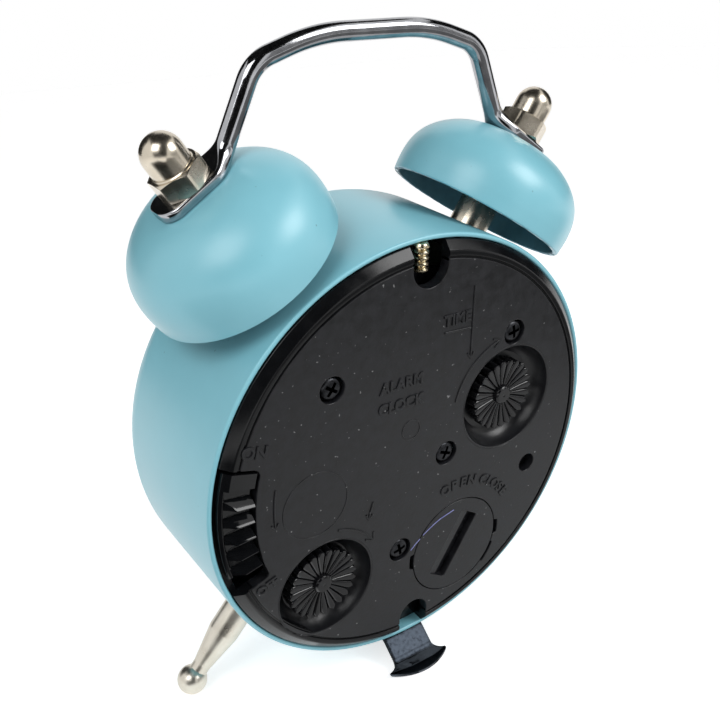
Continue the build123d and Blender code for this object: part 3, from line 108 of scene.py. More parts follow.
def before(x, z, depth, turn=0.0):
    """Frame that faces the dial side: its Z to the front, its Y up, turned clockwise."""
    return facing_frame(((1, 0, 0), (0, 0, -1), (0, 1, 0)), x, z, depth, -turn)


# ---------------------------------------------------------------- shapes


def shape(verts, faces, place=Matrix()):
    mesh = bpy.data.meshes.new("shape")
    mesh.from_pydata([tuple(v) for v in verts], [], faces)
    mesh.transform(place)
    return mesh


def joined(*meshes):
    """One mesh of several."""
    whole = bmesh.new()
    for mesh in meshes:
        whole.from_mesh(mesh)
        bpy.data.meshes.remove(mesh)
    result = bpy.data.meshes.new("joined")
    whole.to_mesh(result)
    whole.free()
    return result


def softened(points, closed=True, steps=5):
    """Outline with rounded corners. Each point is two coordinates and the radius of its corner."""
    out = []
    count = len(points)
    for i, (x, y, radius) in enumerate(points):
        corner = Vector((x, y))
        if radius <= 0 or (not closed and i in (0, count - 1)):
            out.append(corner)
            continue
        back = Vector(points[i - 1][:2]) - corner
        ahead = Vector(points[(i + 1) % count][:2]) - corner
        half = back.angle(ahead) / 2
        reach = min(radius / math.tan(half), 0.49 * back.length, 0.49 * ahead.length)
        back.normalize()
        ahead.normalize()
        centre = corner + (back + ahead).normalized() * reach / math.cos(half)
        first, last = corner + back * reach - centre, corner + ahead * reach - centre
        sweep = first.angle_signed(last)
        for k in range(steps + 1):
            out.append(centre + Matrix.Rotation(-sweep * k / steps, 2) @ first)
    return out


def turned(profile, place=Matrix(), segments=128):
    """Surface of revolution about local Z of a profile of radius and height."""
    verts, rings, faces = [], [], []
    for radius, height in profile:
        if radius < 1e-6:
            rings.append([len(verts)] * segments)
            verts.append((0, 0, height))
            continue
        rings.append(range(len(verts), len(verts) + segments))
        for i in range(segments):
            turn = 2 * math.pi * i / segments
            verts.append((radius * math.cos(turn), radius * math.sin(turn), height))
    on_axis = profile[0][0] < 1e-6 and profile[-1][0] < 1e-6
    pairs = list(zip(rings, rings[1:] + rings[:1]))
    for low, high in pairs[:-1] if on_axis else pairs:
        for i in range(segments):
            k = (i + 1) % segments
            face = list(dict.fromkeys((low[i], low[k], high[k], high[i])))
            if len(face) > 2:
                faces.append(face)
    return shape(verts, faces, place)


def swept(loops, place=Matrix()):
    """Skin over a row of equal closed loops, capped at both ends."""
    count = len(loops[0])
    faces = [range(count), range((len(loops) - 1) * count, len(loops) * count)]
    for j in range(len(loops) - 1):
        for i in range(count):
            k = (i + 1) % count
            faces.append((j * count + i, j * count + k, (j + 1) * count + k, (j + 1) * count + i))
    return shape([v for loop in loops for v in loop], faces, place)


def band_loop(centre, across, over, width, thickness, corner):
    """Rounded rectangle round a point, from its two directions, its sizes and its corner radius."""
    corner = min(corner, 0.499 * width, 0.499 * thickness)
    loop = []
    for side_x, side_y, start in ((1, 1, 0), (-1, 1, 90), (-1, -1, 180), (1, -1, 270)):
        for k in range(7):
            turn = math.radians(start + 15 * k)
            x = side_x * (width / 2 - corner) + corner * math.cos(turn)
            y = side_y * (thickness / 2 - corner) + corner * math.sin(turn)
            loop.append(centre + across * x + over * y)
    return loop


def made_mesh(maker):
    """Plain mesh of a curve, text or modified object, which is then removed."""
    bpy.context.scene.collection.objects.link(maker)
    depsgraph = bpy.context.evaluated_depsgraph_get()
    mesh = bpy.data.meshes.new_from_object(maker.evaluated_get(depsgraph))
    bpy.data.objects.remove(maker)
    return mesh


def way_at(points, i):
    """Direction of a line of points at one of them."""
    return (points[min(i + 1, len(points) - 1)] - points[max(i - 1, 0)]).normalized()


def plate_of(outlines, thickness, edge, place=Matrix()):
    """Flat plate from outlines, the later ones being holes, its edges rounded; top at local Z 0."""
    curve = bpy.data.curves.new("plate", "CURVE")
    curve.dimensions, curve.fill_mode = "2D", "BOTH"
    curve.extrude, curve.bevel_depth, curve.offset = thickness / 2 - edge, edge, -edge
    curve.bevel_resolution = 2
    for outline in outlines:
        line = curve.splines.new("POLY")
        line.points.add(len(outline) - 1)
        for point, (x, y) in zip(line.points, outline):
            point.co = (x, y, 0, 1)
        line.use_cyclic_u = True
    mesh = made_mesh(bpy.data.objects.new("plate", curve))
    mesh.transform(place @ Matrix.Translation((0, 0, -thickness / 2)))
    return mesh


def arc(centre, radius, first, last, steps):
    """Points on an arc, with no corner radius."""
    out = []
    for k in range(steps + 1):
        turn = math.radians(first + (last - first) * k / steps)
        out.append((centre[0] + radius * math.cos(turn), centre[1] + radius * math.sin(turn), 0.0))
    return out


def ring_outline(radius, count):
    """Points of a circle about the origin."""
    turns = [2 * math.pi * i / count for i in range(count)]
    return [(radius * math.cos(turn), radius * math.sin(turn)) for turn in turns]


def flowing(points, steps=4):
    """Smooth line through points."""
    out = []
    last = len(points) - 1
    for i in range(last):
        a, b, c, d = (Vector(points[max(0, min(last, i + k))]) for k in (-1, 0, 1, 2))
        square, cube = 2 * a - 5 * b + 4 * c - d, 3 * b - a - 3 * c + d
        for k in range(steps):
            t = k / steps
            out.append(0.5 * (2 * b + (c - a) * t + square * t**2 + cube * t**3))
    return out + [Vector(points[-1])]


def about_axis(radius, depth, angle):
    """Point at a radius, a depth and an angle in degrees about the case axis."""
    turn = math.radians(angle)
    return (radius * math.sin(turn), -depth, radius * math.cos(turn))


def words(text, size, height, place, edge=0.0):
    """Raised generic word, centred on its place, with an edge that can be rounded."""
    curve = bpy.data.curves.new("words", "FONT")
    curve.body, curve.size, curve.extrude = text, size, height
    curve.bevel_depth, curve.bevel_resolution, curve.offset = edge, 1, edge / 2
    curve.align_x, curve.align_y = "CENTER", "CENTER"
    mesh = made_mesh(bpy.data.objects.new("words", curve))
    mesh.transform(place)
    return mesh


def piece(
    name, mesh, material, body="case", stands_for=(), sharp=38, frame_matrix=clock
):
    """Shows a mesh as a piece of the clock, riding on a body."""
    tidy = bmesh.new()
    tidy.from_mesh(mesh)
    bmesh.ops.remove_doubles(tidy, verts=tidy.verts, dist=1e-4 if frame_matrix is clock else 1e-7)
    bmesh.ops.recalc_face_normals(tidy, faces=tidy.faces)
    tidy.to_mesh(mesh)
    tidy.free()
    mesh.transform(frame_matrix)
    mesh.shade_smooth()
    mesh.set_sharp_from_angle(angle=math.radians(sharp))
    mesh.materials.clear()
    mesh.materials.append(material)
    mesh.name = name
    shown = bpy.data.objects.new(name, mesh)
    bpy.context.scene.collection.objects.link(shown)
    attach(shown, body)
    if stands_for:
        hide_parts(*stands_for)
    return shown


def smooth_copy(node, material):
    """Copy of a plain CAD piece, shaded smooth."""
    mesh = frame["nodes"][node].data.copy()
    for layer in [a for a in mesh.attributes if a.name == "custom_normal"]:
        mesh.attributes.remove(layer)
    piece(node + "_smooth", mesh, material, stands_for=(node,), frame_matrix=Matrix())


# ---------------------------------------------------------------- Geometry Nodes


def add_node(tree, kind, numbered=None, **settings):
    """Adds a node. Settings are its own properties or its named inputs, as a value or a link."""
    node = tree.nodes.new(kind)
    links = dict(numbered or {})
    for key, value in settings.items():
        if key in node.bl_rna.properties:
            setattr(node, key, value)
        else:
            links[key] = value
    for key, value in links.items():
        if isinstance(value, bpy.types.NodeSocket):
            tree.links.new(value, node.inputs[key])
        else:
            node.inputs[key].default_value = value
    return node


def tree_with(name, *inputs):
    """Geometry Nodes tree with named inputs, and the node that gives them."""
    tree = bpy.data.node_groups.new(name, "GeometryNodeTree")
    for label, kind in inputs:
        tree.interface.new_socket(label, in_out="INPUT", socket_type="NodeSocket" + kind)
    tree.interface.new_socket("Geometry", in_out="OUTPUT", socket_type="NodeSocketGeometry")
    return tree, add_node(tree, "NodeGroupInput")


def stand_items(tree, sizes, points, angle):
    """Stands the tree's item on points, turned about the case axis, as one plain mesh."""
    turn = add_node(tree, "ShaderNodeCombineXYZ", Y=angle)
    item = add_node(tree, "GeometryNodeObjectInfo", Object=sizes.outputs["Item"])
    stand = add_node(
        tree,
        "GeometryNodeInstanceOnPoints",
        Points=points,
        Instance=item.outputs["Geometry"],
        Rotation=turn.outputs[0],
    )
    plain = add_node(tree, "GeometryNodeRealizeInstances", Geometry=stand.outputs[0])
    finish = add_node(
        tree,
        "GeometryNodeSetMaterial",
        Geometry=plain.outputs[0],
        Material=sizes.outputs["Material"],
    )
    add_node(tree, "NodeGroupOutput", Geometry=finish.outputs[0])


def round_array_tree():
    """Tree that stands an item in a row of turns about the case axis."""
    tree, sizes = tree_with(
        "round_array",
        ("Item", "Object"),
        ("Count", "Int"),
        ("First angle", "Float"),
        ("Step angle", "Float"),
        ("Material", "Material"),
    )
    row = add_node(tree, "GeometryNodeMeshLine", Count=sizes.outputs["Count"], Offset=(0, 0, 0))
    index = add_node(tree, "GeometryNodeInputIndex")
    angle = add_node(
        tree,
        "ShaderNodeMath",
        {0: index.outputs[0], 1: sizes.outputs["Step angle"], 2: sizes.outputs["First angle"]},
        operation="MULTIPLY_ADD",
    )
    stand_items(tree, sizes, row.outputs["Mesh"], angle.outputs[0])
    return tree


def set_screws_tree():
    """Tree that sets an item on each point of a base, each turned at random about its own axis."""
    tree, sizes = tree_with(
        "set_screws",
        ("Geometry", "Geometry"),
        ("Item", "Object"),
        ("Most turn", "Float"),
        ("Seed", "Int"),
        ("Material", "Material"),
    )
    chance = add_node(
        tree,
        "FunctionNodeRandomValue",
        {2: 0.0, 3: sizes.outputs["Most turn"]},
        data_type="FLOAT",
        Seed=sizes.outputs["Seed"],
    )
    stand_items(tree, sizes, sizes.outputs["Geometry"], chance.outputs[1])
    return tree


def grown(tree, base, **inputs):
    """Plain mesh that a Geometry Nodes tree makes on a base mesh, from its named inputs."""
    maker = bpy.data.objects.new("grown", base or bpy.data.meshes.new("empty"))
    modifier = maker.modifiers.new("grow", "NODES")
    modifier.node_group = tree
    for socket in tree.interface.items_tree:
        if socket.item_type == "SOCKET" and socket.in_out == "INPUT" and socket.name in inputs:
            modifier[socket.identifier] = inputs[socket.name]
    return made_mesh(maker)


def item_object(mesh):
    """Object that holds one item for a tree, out of the scene."""
    return bpy.data.objects.new("item", mesh)


round_array = round_array_tree()
set_screws = set_screws_tree()


def round_row(mesh, count, material, first, step):
    """Plain mesh of an item repeated by turns about the case axis, in radians."""
    turns = {"First angle": first, "Step angle": step}
    item = item_object(mesh)
    return grown(round_array, None, Item=item, Count=count, Material=material, **turns)


# ---------------------------------------------------------------- materials


def linear(code):
    """Linear colour of an sRGB hex code."""
    shares = [int(code[i : i + 2], 16) / 255 for i in (0, 2, 4)]
    return tuple(c / 12.92 if c <= 0.04045 else ((c + 0.055) / 1.055) ** 2.4 for c in shares) + (1,)


def surface(name, light, dark, patch, roughness, grain, depth, specks=None, **constants):
    """Material whose colour and roughness drift over patches, with a fine grain. Sizes in mm."""
    material = bpy.data.materials.new(name)
    material.use_nodes = True
    tree = material.node_tree
    shader = tree.nodes["Principled BSDF"]
    low, high = 0.3, 0.7  # Noise values between which nearly all of it lies
    for label, value in constants.items():
        shader.inputs[label.replace("_", " ")].default_value = value
    place = add_node(tree, "ShaderNodeTexCoord").outputs["Object"]
    drift = add_node(tree, "ShaderNodeTexNoise", Vector=place, Scale=1000 / patch, Detail=4.0)
    spread = add_node(
        tree, "ShaderNodeMapRange", {0: drift.outputs[0], 1: low, 2: high, 3: 0.0, 4: 1.0}
    )
    tone = add_node(
        tree,
        "ShaderNodeMix",
        {0: spread.outputs[0], 6: linear(dark), 7: linear(light)},
        data_type="RGBA",
    )
    colour = tone.outputs[2]
    if specks:
        size, share, speck_colour = specks
        fade, strength = 0.05, 0.6
        dots = add_node(
            tree, "ShaderNodeTexNoise", Vector=place, Scale=1000 / size, Detail=1.0, Roughness=0.4
        )
        chosen = add_node(
            tree,
            "ShaderNodeMapRange",
            {0: dots.outputs[0], 1: share, 2: share + fade, 3: 0.0, 4: strength},
        )
        dusty = add_node(
            tree,
            "ShaderNodeMix",
            {0: chosen.outputs[0], 6: colour, 7: linear(speck_colour)},
            data_type="RGBA",
        )
        colour = dusty.outputs[2]
    tree.links.new(colour, shader.inputs["Base Color"])
    wear = add_node(
        tree,
        "ShaderNodeMapRange",
        {0: drift.outputs[0], 1: low, 2: high, 3: roughness[0], 4: roughness[1]},
    )
    tree.links.new(wear.outputs[0], shader.inputs["Roughness"])
    if depth:
        fine = add_node(tree, "ShaderNodeTexNoise", Vector=place, Scale=1000 / grain, Detail=2.0)
        bump = add_node(
            tree, "ShaderNodeBump", Height=fine.outputs[0], Strength=1.0, Distance=depth / 1000
        )
        tree.links.new(bump.outputs[0], shader.inputs["Normal"])
    return material


def metal(*looks):
    """Material that is bare or plated metal."""
    return surface(*looks, Metallic=1.0)


# Satin enamel on drawn steel, with a faint orange peel and broad soft highlights
blue_paint = surface(
    "satin_blue_enamel_on_steel",
    "88cbda",
    "82c5d4",
    9.0,
    (0.38, 0.45),
    0.45,
    0.004,
    (0.7, 0.79, "4d7680"),
    Coat_Weight=0.55,
    Coat_Roughness=0.3,
)
# Inside of the bells: a darker, rougher blue that paints in the shade inside them
bell_inside_shade_paint = surface("blue_paint_darkened_as_inside_shade", "6a9cab", "568390", 3.0, (0.5, 0.6), 0.45, 0.006)
# Bright chrome plate on the bent rod, slightly pitted
chrome = metal("chrome_plated_steel", "b2b3b6", "9b9ca0", 1.6, (0.06, 0.16), 0.35, 0.0015)
# Warm nickel plate on the nuts and posts
nickel = metal("nickel_plated_steel", "d8cfbf", "c6bcab", 2.0, (0.2, 0.3), 0.3, 0.002)
# Paler satin nickel plate of the turned legs
leg_nickel = metal("satin_nickel_plated_leg", "dad5c9", "cac4b7", 2.0, (0.27, 0.37), 0.3, 0.003)
# Plain steel of the screws and inner nuts
steel = metal("zinc_plated_steel", "b9bbbf", "a4a7ac", 1.5, (0.25, 0.4), 0.15, 0.002)
# Blackened heads of the plate screws
black_steel = metal("black_oxide_steel", "46474a", "2c2d30", 0.8, (0.25, 0.4), 0.12, 0.003)
# Bent strip of the stand, plated darker than the handle and rubbed dull, its foot left bright
dark_chrome = metal("dark_chrome_plated_strip", "383e46", "15181c", 0.5, (0.25, 0.42), 0.25, 0.002)
foot_chrome = metal("dark_chrome_plated_foot", "4a5057", "3c4147", 1.5, (0.03, 0.08), 0.3, 0.0004)
# Moulded black ABS with a spark eroded grain, drawn coarser than the real one so that it shows,
# and light dust
black_plastic = surface(
    "moulded_black_abs",
    "1b1c20",
    "0c0d10",
    1.2,
    (0.32, 0.46),
    0.4,
    0.012,
    specks=(0.45, 0.752, "98999a"),
)
# Smoother black ABS of the knobs, handled bright
black_gloss = surface("polished_black_abs", "101114", "0b0b0d", 2.0, (0.12, 0.22), 0.2, 0.0015)
# Sloping rim of the back plate, deep black, with a bright line along its rounded edge
rim_black = surface(
    "deep_black_abs_rim", "0f1012", "0a0b0d", 2.0, (0.15, 0.23), 0.3, 0.0015, Specular_IOR_Level=0.3
)
# Switch slider, rubbed to a sharp gloss by the finger, so only its crests catch the light
slider_black = surface(
    "rubbed_black_abs_slider",
    "0f1012",
    "0a0b0d",
    2.0,
    (0.05, 0.09),
    0.2,
    0.0006,
    Specular_IOR_Level=0.4,
)
# Smooth bowls round the knobs
satin_black = surface("satin_black_abs", "17181b", "0f1013", 2.0, (0.3, 0.38), 0.3, 0.002)
# Moulded plastics inside and round the dial, with a soft even sheen
grey_plastic = surface("grey_polystyrene_ring", "a5a6a2", "9b9c98", 4.0, (0.4, 0.5), 0.3, 0.003)
white_plastic = surface("white_acetal_movement", "e6e5df", "dcdbd4", 3.0, (0.35, 0.45), 0.2, 0.002)
# Rolled sheet brass, bright with fine streaks of tone
brass = metal("rolled_brass", "d6c08a", "c2ab78", 1.2, (0.2, 0.35), 0.15, 0.002)
# Case screw, nickel over brass, worn on the crests
pale_brass = metal("nickel_over_brass", "d9d2bd", "bba982", 0.5, (0.15, 0.3), 0.15, 0.002)
# Wound coil wire, its enamel glossy over each turn
copper_wire = metal("enamelled_copper_wire", "b5673c", "9c522c", 0.4, (0.25, 0.4), 0.1, 0.01)
# Lacquered card and sheet of the dial and hands, flat and nearly even
dial_white = surface("lacquered_dial_card", "f1f0ea", "e9e8e1", 6.0, (0.45, 0.55), 0.2, 0.001)
hand_black = surface("black_lacquered_aluminium", "17171a", "101012", 2.0, (0.3, 0.4), 0.2, 0.001)
hand_red = surface("red_lacquered_aluminium", "c02822", "ad211c", 2.0, (0.3, 0.4), 0.2, 0.001)
# Circuit board and magnet inside the movement
board_green = surface("green_solder_mask_board", "1f6a3d", "185a33", 1.5, (0.35, 0.5), 0.2, 0.003)
magnet = surface("sintered_ferrite_magnet", "4a4a4d", "3b3b3e", 0.6, (0.45, 0.6), 0.1, 0.004)
# Violet colour of the thin raised line by the battery lid: a painted glint, light along the lid's
# edge
violet_glint_paint = surface("painted_violet_glint", "8084b4", "6668a0", 1.0, (0.15, 0.25), 0.2, 0.0)
# Screen printed numbers and marks of the dial
dial_ink = surface("black_dial_ink", "1b1b1c", "141415", 2.0, (0.5, 0.6), 0.2, 0.001)
# Clear crowned window, polished, its gloss drifting slightly
lens_glass = surface(
    "clear_acrylic_window",
    "fdfefe",
    "f8fbfb",
    8.0,
    (0.0, 0.02),
    3.0,
    0.0,
    Transmission_Weight=1.0,
    IOR=1.49,
)

slots = dict(
    blue_paint=blue_paint, chrome=chrome, nickel=nickel, steel=steel, black_plastic=black_plastic,
    grey_plastic=grey_plastic, white_plastic=white_plastic, brass=brass, copper_wire=copper_wire,
    lens_glass=lens_glass, dial_white=dial_white, hand_black=hand_black, hand_red=hand_red,
    board_green=board_green, magnet=magnet,
)
# Every CAD piece gets its material, also those that a visual piece stands in for
for part in frame["record"]["subparts"]:
    node = frame["nodes"][part["node"]]
    node.data.materials.clear()
    node.data.materials.append(slots[part["material_slot"]])

# ---------------------------------------------------------------- case, bells, nuts

round_centre = (case_radius - case_round, case_depth - case_round)
rear_edge, round_steps = 0.28, 16
case_profile = softened(
    [(case_radius - case_wall, 0, rear_edge), (case_radius, 0, rear_edge)]
    + arc(round_centre, case_round, 0, 90, round_steps)
    + arc(round_centre, case_round - case_wall, 90, 0, round_steps)
)
piece(
    "case_drum",
    turned(case_profile, before(0, 0, 0), 192),
    blue_paint,
    stands_for=("case_shell",),
)

# Radius and height over the rim of the outside and the inside of a bell
bell_outside = [
    (11.76, 0.1), (11.81, 0.5), (11.87, 1.3), (11.9, 2.2), (11.815, 3.486), (11.53, 4.742),
    (11.01, 5.919), (10.261, 6.966), (9.334, 7.861), (8.295, 8.623), (7.163, 9.238),
    (5.951, 9.674), (4.686, 9.923), (3.4, 10.0),
]
bell_inside = [
    (11.06, 0.1), (11.11, 0.5), (11.17, 1.3), (11.2, 2.2), (11.12, 3.372), (10.851, 4.516),
    (10.363, 5.583), (9.665, 6.527), (8.809, 7.332), (7.857, 8.022), (6.827, 8.588),
    (5.725, 8.994), (4.573, 9.227), (3.4, 9.3),
]
bell_bore, bell_height, bell_wall = 1.6, 10.0, 0.7
rim_outside, rim_inside = 11.64, 11.18
bell_profile = softened(
    [(rim_outside, 0, 0)]
    + [(p.x, p.y, 0) for p in flowing(bell_outside)]
    + [(bell_bore, bell_height, 0.15), (bell_bore, bell_height - bell_wall, 0)]
    + [(p.x, p.y, 0) for p in reversed(flowing(bell_inside))]
    + [(rim_inside, 0, 0)]
)
for side, angle in (("left", bell_angle), ("right", -bell_angle)):
    dome = piece(
        side + "_bell_dome",
        turned(bell_profile, spoke(angle, bell_rim_reach), 144),
        blue_paint,
        stands_for=(side + "_bell",),
    )
    # Faces that look towards the middle of the rim are the inside, and get the darker blue of
    # painted shade
    dome.data.materials.append(bell_inside_shade_paint)
    rim_middle = (clock @ spoke(angle, bell_rim_reach)).translation
    for face in dome.data.polygons:
        face.material_index = int(face.normal.dot(face.center - rim_middle) < 0)

post_bore, post_radius, post_foot, post_top = 1.6, 2.5, 27.7, 39.35
post_profile = softened(
    [
        (post_bore, post_foot, 0),
        (post_radius, post_foot, 0),
        (post_radius, post_top, 0.2),
        (post_bore, post_top, 0),
    ]
)
post = turned(post_profile, Matrix.Translation((0, -spoke_depth, 0)), 48)
bell_turns = (-math.radians(bell_angle), 2 * math.radians(bell_angle))
piece(
    "bell_posts",
    round_row(post, 2, nickel, *bell_turns),
    nickel,
    stands_for=("bell_spacers",),
)


def acorn_nut():
    """Hexagon with turned chamfers, a short neck and a dome, standing on local Z 0."""
    segments, flat, height, bore = 96, hex_flats / 2, 2.35, 1.5
    dome, neck_height, seam = 2.33, 1.7, 0.12
    corner_share, rise = 1.135, math.tan(math.radians(30))
    rings = [[] for _ in range(6)]
    for i in range(segments):
        turn = 2 * math.pi * i / segments
        inside = (turn + math.pi / 6) % (math.pi / 3) - math.pi / 6
        edge = min(flat / math.cos(inside), flat * corner_share)
        chamfer = (edge - flat) * rise
        for ring, radius, level in zip(
            rings,
            (bore, flat, edge, edge, flat, dome + seam),
            (0.0, 0.0, chamfer, height - chamfer, height, height),
        ):
            ring.append((radius * math.cos(turn), radius * math.sin(turn), level))
    dome_start = height + neck_height
    neck = [(dome, height + seam), (dome, dome_start)]
    neck += [(x, y) for x, y, _ in arc((0, dome_start), dome, 6, 84, 13)]
    for radius, level in neck:
        rings.append([(x, y, level) for x, y in ring_outline(radius, segments)])
    rings.append([(0, 0, dome_start + dome)] * segments)
    return swept(rings)


nut = acorn_nut()
nut.transform(Matrix.Translation((0, -spoke_depth, bell_crown_reach + paddle_thickness)))
piece(
    "acorn_nuts_turned",
    round_row(nut, 2, nickel, *bell_turns),
    nickel,
    stands_for=("acorn_nuts",),
    sharp=25,
)

# ---------------------------------------------------------------- handle

across = Vector((0, 1, 0))
outward = Vector((math.sin(math.radians(bell_angle)), math.cos(math.radians(bell_angle))))
along = Vector((outward.y, -outward.x))
rod_radius, paddle_width, paddle_corner, paddle_edge = 1.1, 5.4, 2.0, 0.35
paddle_out, paddle_in, neck_inset, neck_pull = 4.3, 3.4, 1.2, 1.1
shoulder_bend, arch_share = 4.4, 0.78
paddle_middle = outward * (bell_crown_reach + paddle_thickness / 2)
paddle_end = paddle_middle - along * paddle_in
rod_start = paddle_end - along * 2.75 + outward * 1.05
shoulder = rod_start + Vector((-3.3, 7.6))
arch = Vector((shoulder.x * 0.5, shoulder.y + 2.4))
arch_turn = math.atan2(arch.y - shoulder.y, shoulder.x - arch.x)
arch_radius = arch_share * arch.x / math.tan(arch_turn / 2)

# Stations of the left half: place, width, thickness and corner radius of the section
stations = []
for k in range(9):
    inset = paddle_corner * (1 - math.cos(math.pi / 2 * k / 8)) + 0.02
    half = paddle_width / 2 - paddle_corner
    half += math.sqrt(max(0, paddle_corner**2 - (paddle_corner - inset) ** 2))
    spot = paddle_middle + along * (paddle_out - inset)
    stations.append((spot, 2 * half, paddle_thickness, paddle_edge))
flat_start, flat_end = paddle_out - paddle_corner, paddle_in - neck_inset
for k in range(1, 5):
    reach = flat_start + (flat_end + paddle_out - paddle_corner) * -k / 4
    stations.append((paddle_middle + along * reach, paddle_width, paddle_thickness, paddle_edge))
neck_start = paddle_middle - along * flat_end
rod_way = (shoulder - rod_start).normalized()
neck_steps = 24
for k in range(1, neck_steps + 1):
    t = k / neck_steps
    span = (rod_start - neck_start).length
    centre = (
        neck_start * (2 * t**3 - 3 * t**2 + 1)
        - along * span * (t**3 - 2 * t**2 + t) * neck_pull
        + rod_start * (3 * t**2 - 2 * t**3)
        + rod_way * span * (t**3 - t**2) * neck_pull
    )
    ease = t * t * (3 - 2 * t)
    width = paddle_width + (2 * rod_radius - paddle_width) * ease
    thick = paddle_thickness + (2 * rod_radius - paddle_thickness) * ease
    stations.append((centre, width, thick, paddle_edge + (rod_radius - paddle_edge) * ease))
rod_line = softened(
    [(*rod_start, 0), (*shoulder, shoulder_bend), (*arch, arch_radius), (0, arch.y, 0)],
    closed=False,
    steps=24,
)
stations += [(point, 2 * rod_radius, 2 * rod_radius, rod_radius) for point in rod_line[1:]]
stations += [(Vector((-p.x, p.y)), w, t, c) for p, w, t, c in reversed(stations[:-1])]
loops = []
places = [station[0] for station in stations]
for i, (point, width, thick, corner) in enumerate(stations):
    way = way_at(places, i)
    over = Vector((-way.y, 0, way.x))
    centre = Vector((point.x, -spoke_depth, point.y))
    loops.append(band_loop(centre, across, over, width, thick, corner))
piece("carrying_handle", swept(loops), chrome, stands_for=("handle",), sharp=50)

# ---------------------------------------------------------------- legs and stand

# Radius, reach from the case axis and corner radius of a leg, then its ball
ball_reach, ball_radius = 41.0, 1.95
leg_profile = softened(
    [(0, 27.7, 0), (2.05, 27.7, 0), (2.05, 33.5, 0.9), (1.2, 38.6, 1.5), (1.2, 39.42, 0.2)]
    + arc((0, ball_reach), ball_radius, -52, 84, 20)
    + [(0, ball_reach + ball_radius, 0)],
    closed=False,
)
for side, angle in (("left", leg_angle), ("right", -leg_angle)):
    piece(
        side + "_leg_turned",
        turned(leg_profile, spoke(angle), 64),
        leg_nickel,
        stands_for=(side + "_leg",),
    )

# Stand: a strip under the case, bent down to a thinner flared foot whose end bows
stand_width, foot_width, strip, inner_bend = 6.2, 9.4, 0.8, 1.6
head_corner, foot_corner, strip_edge = 1.2, 0.4, 0.16
strip_start, bend_start = -11.0, -1.5
slope, foot_slope = math.radians(37.0), math.radians(3.0)
reach, reach_steps, ease_start, ease_length = 5.67, 40, 0.42, 0.18
flare_length, foot_length, foot_thinning, foot_bow, bow_steps = 2.2, 1.2, 0.4, 1.5, 16
bend_radius = inner_bend + strip / 2
bend_centre = Vector((bend_start, -case_radius - strip - inner_bend))
line = [
    Vector((strip_start + (bend_start - strip_start) * k / 12, -case_radius - strip / 2))
    for k in range(13)
]
for k in range(1, 9):
    turn = math.pi / 2 - slope * k / 8
    line.append(bend_centre + bend_radius * Vector((math.cos(turn), math.sin(turn))))
for k in range(1, reach_steps + 1):
    ease = min(max((k / reach_steps - ease_start) / ease_length, 0), 1)
    turn = slope + (foot_slope - slope) * ease
    line.append(line[-1] + Vector((math.cos(turn), -math.sin(turn))) * reach / reach_steps)
stretch = [0.0]
for a, b in zip(line, line[1:]):
    stretch.append(stretch[-1] + (b - a).length)
flare_end = stretch[-1] - foot_length
flare_start = flare_end - flare_length
loops = []
for i, (point, run) in enumerate(zip(line, stretch)):
    flare = min(max((run - flare_start) / (flare_end - flare_start), 0), 1)
    half = stand_width / 2 + (foot_width - stand_width) / 2 * flare**2
    for gap, corner in ((run, head_corner), (stretch[-1] - run, foot_corner)):
        if gap < corner:
            half += math.sqrt(corner**2 - (corner - gap) ** 2) - corner
    way = way_at(line, i)
    over = Vector((0, -way.y, way.x))
    thin = foot_thinning * flare
    centre = Vector((0, point.x, point.y)) - over * thin / 2
    loop = band_loop(centre, Vector((1, 0, 0)), over, 2 * half, strip - thin, strip_edge)
    # Points across the strip's top and bottom, so that the end can bow
    top, bottom = (
        [loop[i].lerp(loop[i + 1], k / bow_steps) for k in range(1, bow_steps)] for i in (6, 20)
    )
    loop = loop[:7] + top + loop[7:21] + bottom + loop[21:]
    pull = foot_bow * max(0, (run - flare_start) / (stretch[-1] - flare_start)) ** 2
    back = Vector((0, way.x, way.y)) * pull
    loops.append([p - back * (2 * p.x / foot_width) ** 2 for p in loop])
stand = piece("stand_strip", swept(loops), dark_chrome, stands_for=("rear_stand",))
stand.data.materials.append(foot_chrome)
bright_length = 2.5
foot_line = line[-1].x - bright_length
for face in stand.data.polygons:
    face.material_index = int((clock.inverted() @ face.center).y > foot_line)
smooth_copy("stand_screw", steel)

# ---------------------------------------------------------------- back plate


def rear_point(radius, angle, centre=(0, 0)):
    """Point on the back in picture coordinates, from its radius and its angle on the clock."""
    turn = math.radians(angle)
    return (-centre[0] - radius * math.sin(turn), centre[1] + radius * math.cos(turn))


def rear_arc(radius, first, last, centre=(0, 0), step=2.5):
    """Points on an arc of the back, with no corner radius."""
    count = max(2, round(abs(last - first) / step))
    angles = [first + (last - first) * k / count for k in range(count + 1)]
    return [(*rear_point(radius, angle, centre), 0) for angle in angles]


def rear_ring(radius, centre=(0, 0), count=96):
    """Round hole in the back, drawn against the outer outline."""
    return [rear_point(radius, -360 * i / count, centre) for i in range(count)]


def edge_angle(side, radius):
    """Angle at which an upright line at a distance from the middle meets a radius."""
    return math.degrees(math.asin(side / radius))


slot_first, slot_last, slot_radius = 74.5, 111.5, 22.7
groove_in, groove_out, bevel_radius, plate_radius = 25.3, 25.6, 26.2, 27.3
bevel_foot, skirt_end, inner_face = -0.05, 3.2, 0.55
notch, notch_height = 2.5, 24.7
low_notch, low_notch_side, low_notch_height = 2.2, -0.393, 24.4

